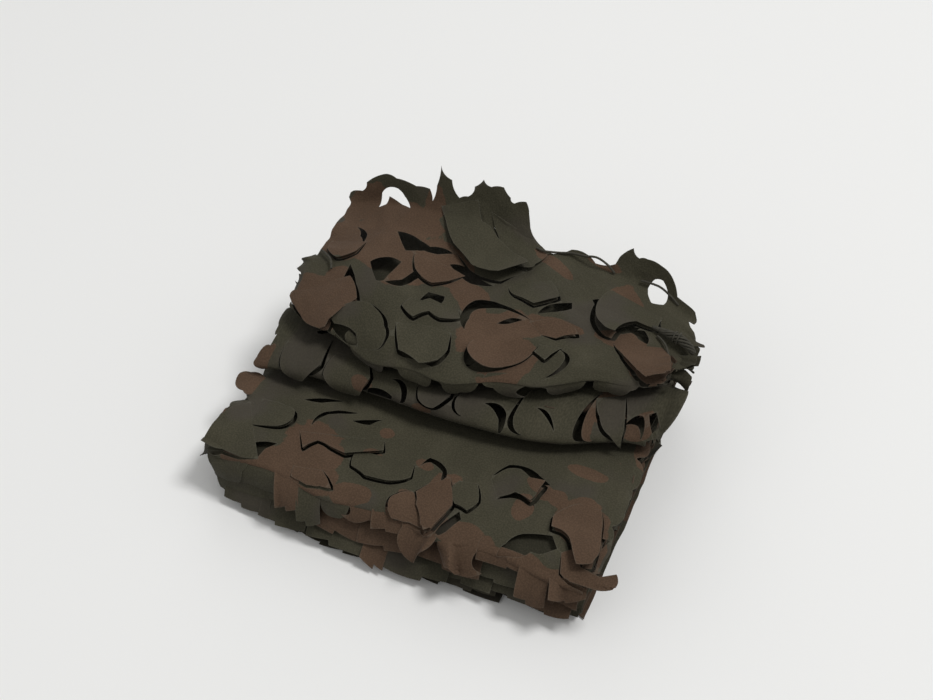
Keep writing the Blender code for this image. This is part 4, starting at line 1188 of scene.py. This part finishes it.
def smoothPath(rows, count):
    # A smooth line of so many points through rows of places
    rows = np.array(rows, float)
    knots = np.arange(len(rows))
    where = np.linspace(0, len(rows) - 1, count)
    return np.stack([smoothThrough(where, np.stack([knots, column], -1)) for column in rows.T], axis=-1)


def cordRoute(rows, radius):
    # Places above the top ply, as far along its normal as the radius and the route say
    u, behind, lift = np.array(rows, float).T / 1000
    place, _, _, normal = framesOf(layFlat, u, alongStrip(top, 0) + behind)
    return place + normal * (cords["overCloth"] + radius + lift)[:, None]


def pathFrame(path, upright):
    # Ways across a path and above it
    ahead = unit(np.gradient(path, axis=0))
    side = unit(np.cross(ahead, upright))
    return side, np.cross(side, ahead)


def roundIt(middle, side, above, far, turn):
    # Places round a middle: side times the cosine of the turn and above times its sine
    return middle + side * (far * np.cos(turn))[..., None] + above * (far * np.sin(turn))[..., None]


def sweptTube(path, radius, lobes, lay, ridge, corners=18):
    # A round profile with so many ridges carried along a path, turning once in each lay
    side, above = pathFrame(path, [0.2, 0.1, 1])
    gone = np.concatenate([[0], np.cumsum(np.linalg.norm(np.diff(path, axis=0), axis=1))])
    angle = np.linspace(0, 2 * np.pi, corners, endpoint=False)
    turned = angle + 2 * np.pi * gone[:, None] / lay
    far = radius * (1 - ridge + ridge * np.abs(np.cos(lobes * turned / 2)) ** 0.7)
    rings = roundIt(path[:, None], side[:, None], above[:, None], far, angle)
    index = np.arange(len(path) * corners).reshape(-1, corners)
    following = np.roll(index, -1, axis=1)
    walls = np.stack([index[:-1], following[:-1], following[1:], index[1:]], -1).reshape(-1, 4)
    perRadian = 0.002  # of the map across the tube
    uv = np.stack([turned * perRadian, np.repeat(gone[:, None], corners, 1)], -1).reshape(-1, 2)
    return rings.reshape(-1, 3), walls, [index[0][::-1], index[-1]], uv


def tubesPiece(name, tubes, finish):
    # Several tubes as one mesh, with flat ends
    points, faces, uvs, start = [], [], [], 0
    for rings, walls, ends, uv in tubes:
        points.append(rings)
        faces += (walls + start).tolist() + [(end + start).tolist() for end in ends]
        uvs.append(uv)
        start += len(rings)
    mesh = bpy.data.meshes.new(name)
    mesh.from_pydata(np.concatenate(points).tolist(), [], faces)
    mesh.shade_smooth()
    loops = np.zeros(len(mesh.loops), np.int32)
    mesh.loops.foreach_get("vertex_index", loops)
    mesh.uv_layers.new(name="flat").data.foreach_set("uv", np.concatenate(uvs)[loops].ravel())
    piece = addPiece(name, mesh, finish)
    return piece


def addCords(finish):
    # A twisted cord along each route.  The bunch is cords wound evenly round one line, as far from it
    # as its radius there less their own, with a tie round it
    radius, twist = cords["radius"], (cords["strands"], cords["lay"], cords["ridge"])
    for node, (name, rows) in cords["routes"].items():
        path = cordRoute(rows, np.full(len(rows), radius))
        length = np.linalg.norm(np.diff(path, axis=0), axis=1).sum()
        tube = sweptTube(smoothPath(path, round(length / cords["step"])), radius, *twist)
        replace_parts(tubesPiece(name, [tube], finish), node)
    count, strands = cords["hankPoints"], cords["hankStrands"]
    radii = np.array(cords["hankRadii"]) / 1000
    middle = smoothPath(cordRoute(cords["hankRoute"], radii * 1.2), count)
    wide = smoothThrough(np.linspace(0, len(radii) - 1, count), list(enumerate(radii)))
    side, above = pathFrame(middle, [0, 0, 1])
    far = np.maximum(wide - radius, 0.0008)
    tubes = []
    for k in range(strands):
        turn = 2 * np.pi * (k / strands + cords["hankTurns"] * np.linspace(0, 1, count))
        tubes.append(sweptTube(roundIt(middle, side, above, far, turn), radius, *twist, 12))
    turn = np.linspace(0, 2 * np.pi, 41)
    for at in cords["ties"]:
        k = round(at * count)
        ring = roundIt(middle[k], side[k], above[k], wide[k] + cords["tieOff"], turn)
        tubes.append(sweptTube(ring, cords["tieRadius"], 3, cords["tieLay"], 0.2, 10))
    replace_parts(tubesPiece("twistedCords", tubes, finish), "net_hank")


class Wire:
    # A shader socket; sums, differences and products of wires and numbers add Math nodes
    def __init__(self, tree, socket=None):
        self.tree, self.socket = tree, socket

    def node(self, kind, settings, sockets, output=0):
        # Any node by its type and settings, its sockets set to values or linked to wires
        made = self.tree.nodes.new(kind)
        for name, value in settings.items():
            setattr(made, name, value)
        for name, value in sockets.items():
            if isinstance(value, Wire):
                self.tree.links.new(value.socket, made.inputs[name])
            else:
                made.inputs[name].default_value = value
        return Wire(self.tree, made.outputs[output])

    def math(self, operation, first, second=0.0):
        return self.node("ShaderNodeMath", {"operation": operation}, {0: first, 1: second})

    def __add__(self, other):
        return self.math("ADD", self, other)

    __radd__ = __add__

    def __sub__(self, other):
        return self.math("SUBTRACT", self, other)

    def __rsub__(self, other):
        return self.math("SUBTRACT", other, self)

    def __mul__(self, other):
        return self.math("MULTIPLY", self, other)

    __rmul__ = __mul__

    def step(self, low, high):
        # Smooth step from 0 at low to 1 at high
        settings = {"interpolation_type": "SMOOTHSTEP"}
        return self.node("ShaderNodeMapRange", settings, {"Value": self, "From Min": low, "From Max": high})

    def blend(self, first, second):
        # Colour from first to second as the wire goes from 0 to 1
        sockets = {0: self, 6: first, 7: second}
        return self.node("ShaderNodeMix", {"data_type": "RGBA"}, sockets, 2)


def newFinish(name):
    # A material with its shader and a first wire
    finish = bpy.data.materials.new(name)
    finish.use_nodes = True
    shader = finish.node_tree.nodes["Principled BSDF"]
    return finish, shader, Wire(finish.node_tree)


def feed(shader, name, wire):
    # The wire to that socket of the material's shader
    wire.tree.links.new(wire.socket, shader.inputs[name])


cloth = {
    "green": (0.038, 0.035, 0.021, 1),
    "greenWorn": (0.067, 0.060, 0.038, 1),
    "greyed": (0.055, 0.046, 0.037, 1),
    "brown": (0.066, 0.040, 0.024, 1),
    "brownWorn": (0.106, 0.064, 0.039, 1),
    "frayed": (0.16, 0.15, 0.12, 1),
    "underside": 0.80,
    # share of the colour kept where the painted shade inside the folds is full
    "inside": 0.72,
    # scales of the noises, to the metre
    "noises": {"edge": 260, "fade": 22, "grain": 1500, "speckle": 620, "greying": 13, "fraying": 700,
               "crumple": 75},
    "weave": 1100.0,  # threads a metre
    "crumpleHeight": 0.0021,
    "weaveHeight": 0.00005,
    "grainHeight": 0.00006,
    "roughness": 0.86,
    "sockets": {"Sheen Weight": 0.02, "Sheen Roughness": 0.5, "Specular IOR Level": 0.2},
}


def clothFinish():
    # Brown on green by the sign of the field and a fine noise, both paler where worn; greyed blotches;
    # darker on the underside; painted shade inside the folds; frayed rims.  Height is crumple, a product of
    # two sines and grain
    finish, shader, w = newFinish("printedCloth")
    flat = w.node("ShaderNodeUVMap", {"uv_map": "flat"}, {})
    attribute = {name: w.node("ShaderNodeAttribute", {"attribute_name": name}, {}, 2)
                 for name in ("brown", "rim", "under", "inside")}

    def noise(name, detail=3.0, stretch=None):
        # A noise on the flat cloth
        place = flat if stretch is None else w.node("ShaderNodeVectorMath", {"operation": "MULTIPLY"},
                                                    {0: flat, 1: stretch})
        sockets = {"Vector": place, "Scale": cloth["noises"][name], "Detail": detail}
        return w.node("ShaderNodeTexNoise", {}, sockets)

    edge = attribute["brown"] + 0.25 * (noise("edge") - 0.5)
    isBrown = edge.step(-0.05, 0.05)
    fade, grain, speckle = noise("fade"), noise("grain", 2.0), noise("speckle", 2.0)
    worn = fade.step(0.42, 0.75) * 0.35 + grain.step(0.35, 0.8) * 0.2 + speckle.step(0.38, 0.66) * 0.6
    green = worn.blend(cloth["green"], cloth["greenWorn"])
    green = (noise("greying", 2.0).step(0.50, 0.66) * 0.6).blend(green, cloth["greyed"])
    brown = worn.blend(cloth["brown"], cloth["brownWorn"])
    colour = isBrown.blend(green, brown)
    frayed = attribute["rim"].step(0.72, 1.0) * (noise("fraying") - 0.15) * 0.5
    colour = frayed.blend(colour, cloth["frayed"])

    def darker(how, share):
        # The colour times a share, as far as the wire how says
        settings = {"data_type": "RGBA", "blend_type": "MULTIPLY"}
        shaded = w.node("ShaderNodeMix", settings, {0: 1.0, 6: colour, 7: (share,) * 3 + (1,)}, 2)
        return how.blend(colour, shaded)

    colour = darker(attribute["under"], cloth["underside"])
    # painted shade: darker where the cloth round a place stands higher
    colour = darker(attribute["inside"], cloth["inside"])
    feed(shader, "Base Color", colour)
    feed(shader, "Roughness", cloth["roughness"] - 0.12 * fade + 0.06 * grain)
    thread = 2 * math.pi * cloth["weave"]
    across, along = (w.node("ShaderNodeSeparateXYZ", {}, {0: flat}, k) for k in (0, 1))
    weave = w.math("SINE", across * thread) * w.math("SINE", along * thread)
    crumple = noise("crumple", 4.0, (1, 0.8, 1))
    height = crumple * cloth["crumpleHeight"] + weave * cloth["weaveHeight"] + grain * cloth["grainHeight"]
    bump = w.node("ShaderNodeBump", {}, {"Strength": 1.0, "Distance": 1.0, "Height": height})
    feed(shader, "Normal", bump)
    for name, value in cloth["sockets"].items():
        shader.inputs[name].default_value = value
    return finish


def cordFinish():
    # From dark to light as fibre and soil noises add up
    finish, shader, w = newFinish("twistedCord")
    flat = w.node("ShaderNodeUVMap", {"uv_map": "flat"}, {})
    fibre = w.node("ShaderNodeTexNoise", {}, {"Vector": flat, "Scale": 1400.0, "Detail": 2.0})
    soil = w.node("ShaderNodeTexNoise", {}, {"Vector": flat, "Scale": 90.0, "Detail": 3.0})
    colour = (fibre * 0.6 + soil * 0.5).step(0.3, 0.8).blend(cords["dark"], cords["light"])
    feed(shader, "Base Color", colour)
    feed(shader, "Roughness", 0.75 + 0.15 * fibre)
    bump = w.node("ShaderNodeBump", {}, {"Strength": 0.6, "Distance": 0.0003, "Height": fibre})
    feed(shader, "Normal", bump)
    return finish


studio = {
    "elevation": 42.0,
    "azimuth": 23.3,
    "aim": (-0.022, 0.0766, 0.060),
    "distance": 1.33,
    "lens": 36 * 1200 / 933,
    "floor": (0.87, 0.87, 0.86, 1),
    "sky": (1.0, 1.0, 0.99, 1),
    "skyStrength": 0.43,
    "half": 8.0,  # half the floor's side
    "below": -0.0005,
    # place, size and power
    "lights": {"keyLight": ((3.9, 1.2, 7.8), 2.6, 395), "fillLight": ((-4.5, -6.2, 5.3), 6.7, 66),
               "backLight": ((-4.0, 7.5, 3.6), 6.0, 90)},
}


def addLight(name, place, size, power):
    # A round lamp that looks at the bundle
    light = bpy.data.lights.new(name, "AREA")
    light.shape, light.size, light.energy = "DISK", size, power
    lamp = bpy.data.objects.new(name, light)
    lamp.location = place
    lamp.rotation_euler = (Vector(studio["aim"]) - Vector(place)).to_track_quat("-Z", "Y").to_euler()
    bpy.context.scene.collection.objects.link(lamp)


def addStudio():
    # A camera so far from the aim at its azimuth and elevation, a pale floor, an even sky and lamps
    scene = bpy.context.scene
    a, e = math.radians(studio["azimuth"]), math.radians(studio["elevation"])
    back = Vector((math.sin(a) * math.cos(e), -math.cos(a) * math.cos(e), math.sin(e)))
    camera = bpy.data.objects.new("camera", bpy.data.cameras.new("camera"))
    camera.data.sensor_width, camera.data.lens = 36, studio["lens"]
    camera.location = Vector(studio["aim"]) + back * studio["distance"]
    camera.rotation_euler = back.to_track_quat("Z", "Y").to_euler()
    scene.collection.objects.link(camera)
    scene.camera = camera
    floor = bpy.data.meshes.new("floor")
    half, below = studio["half"], studio["below"]
    corners = [(x * half, y * half, below) for x, y in ((-1, -1), (1, -1), (1, 1), (-1, 1))]
    floor.from_pydata(corners, [], [(0, 1, 2, 3)])
    stage = bpy.data.objects.new("floor", floor)
    finish, shader, w = newFinish("paleFloor")
    grain = w.node("ShaderNodeTexNoise", {}, {"Scale": 3.0, "Detail": 2.0})
    feed(shader, "Roughness", 0.9 + 0.05 * grain)
    shader.inputs["Base Color"].default_value = studio["floor"]
    floor.materials.append(finish)
    scene.collection.objects.link(stage)
    scene.view_settings.view_transform = "Standard"
    world = bpy.data.worlds.new("studio")
    scene.world = world
    world.use_nodes = True
    background = world.node_tree.nodes["Background"]
    background.inputs[0].default_value = studio["sky"]
    background.inputs[1].default_value = studio["skyStrength"]
    for name, row in studio["lights"].items():
        addLight(name, *row)


for old in list(bpy.data.objects):
    if old.type in {"CAMERA", "LIGHT"}:
        bpy.data.objects.remove(old, do_unlink=True)
addStudio()
print("studio made")
addCloth(clothFinish())
print("cloth made")
addCords(cordFinish())
print("cords made")
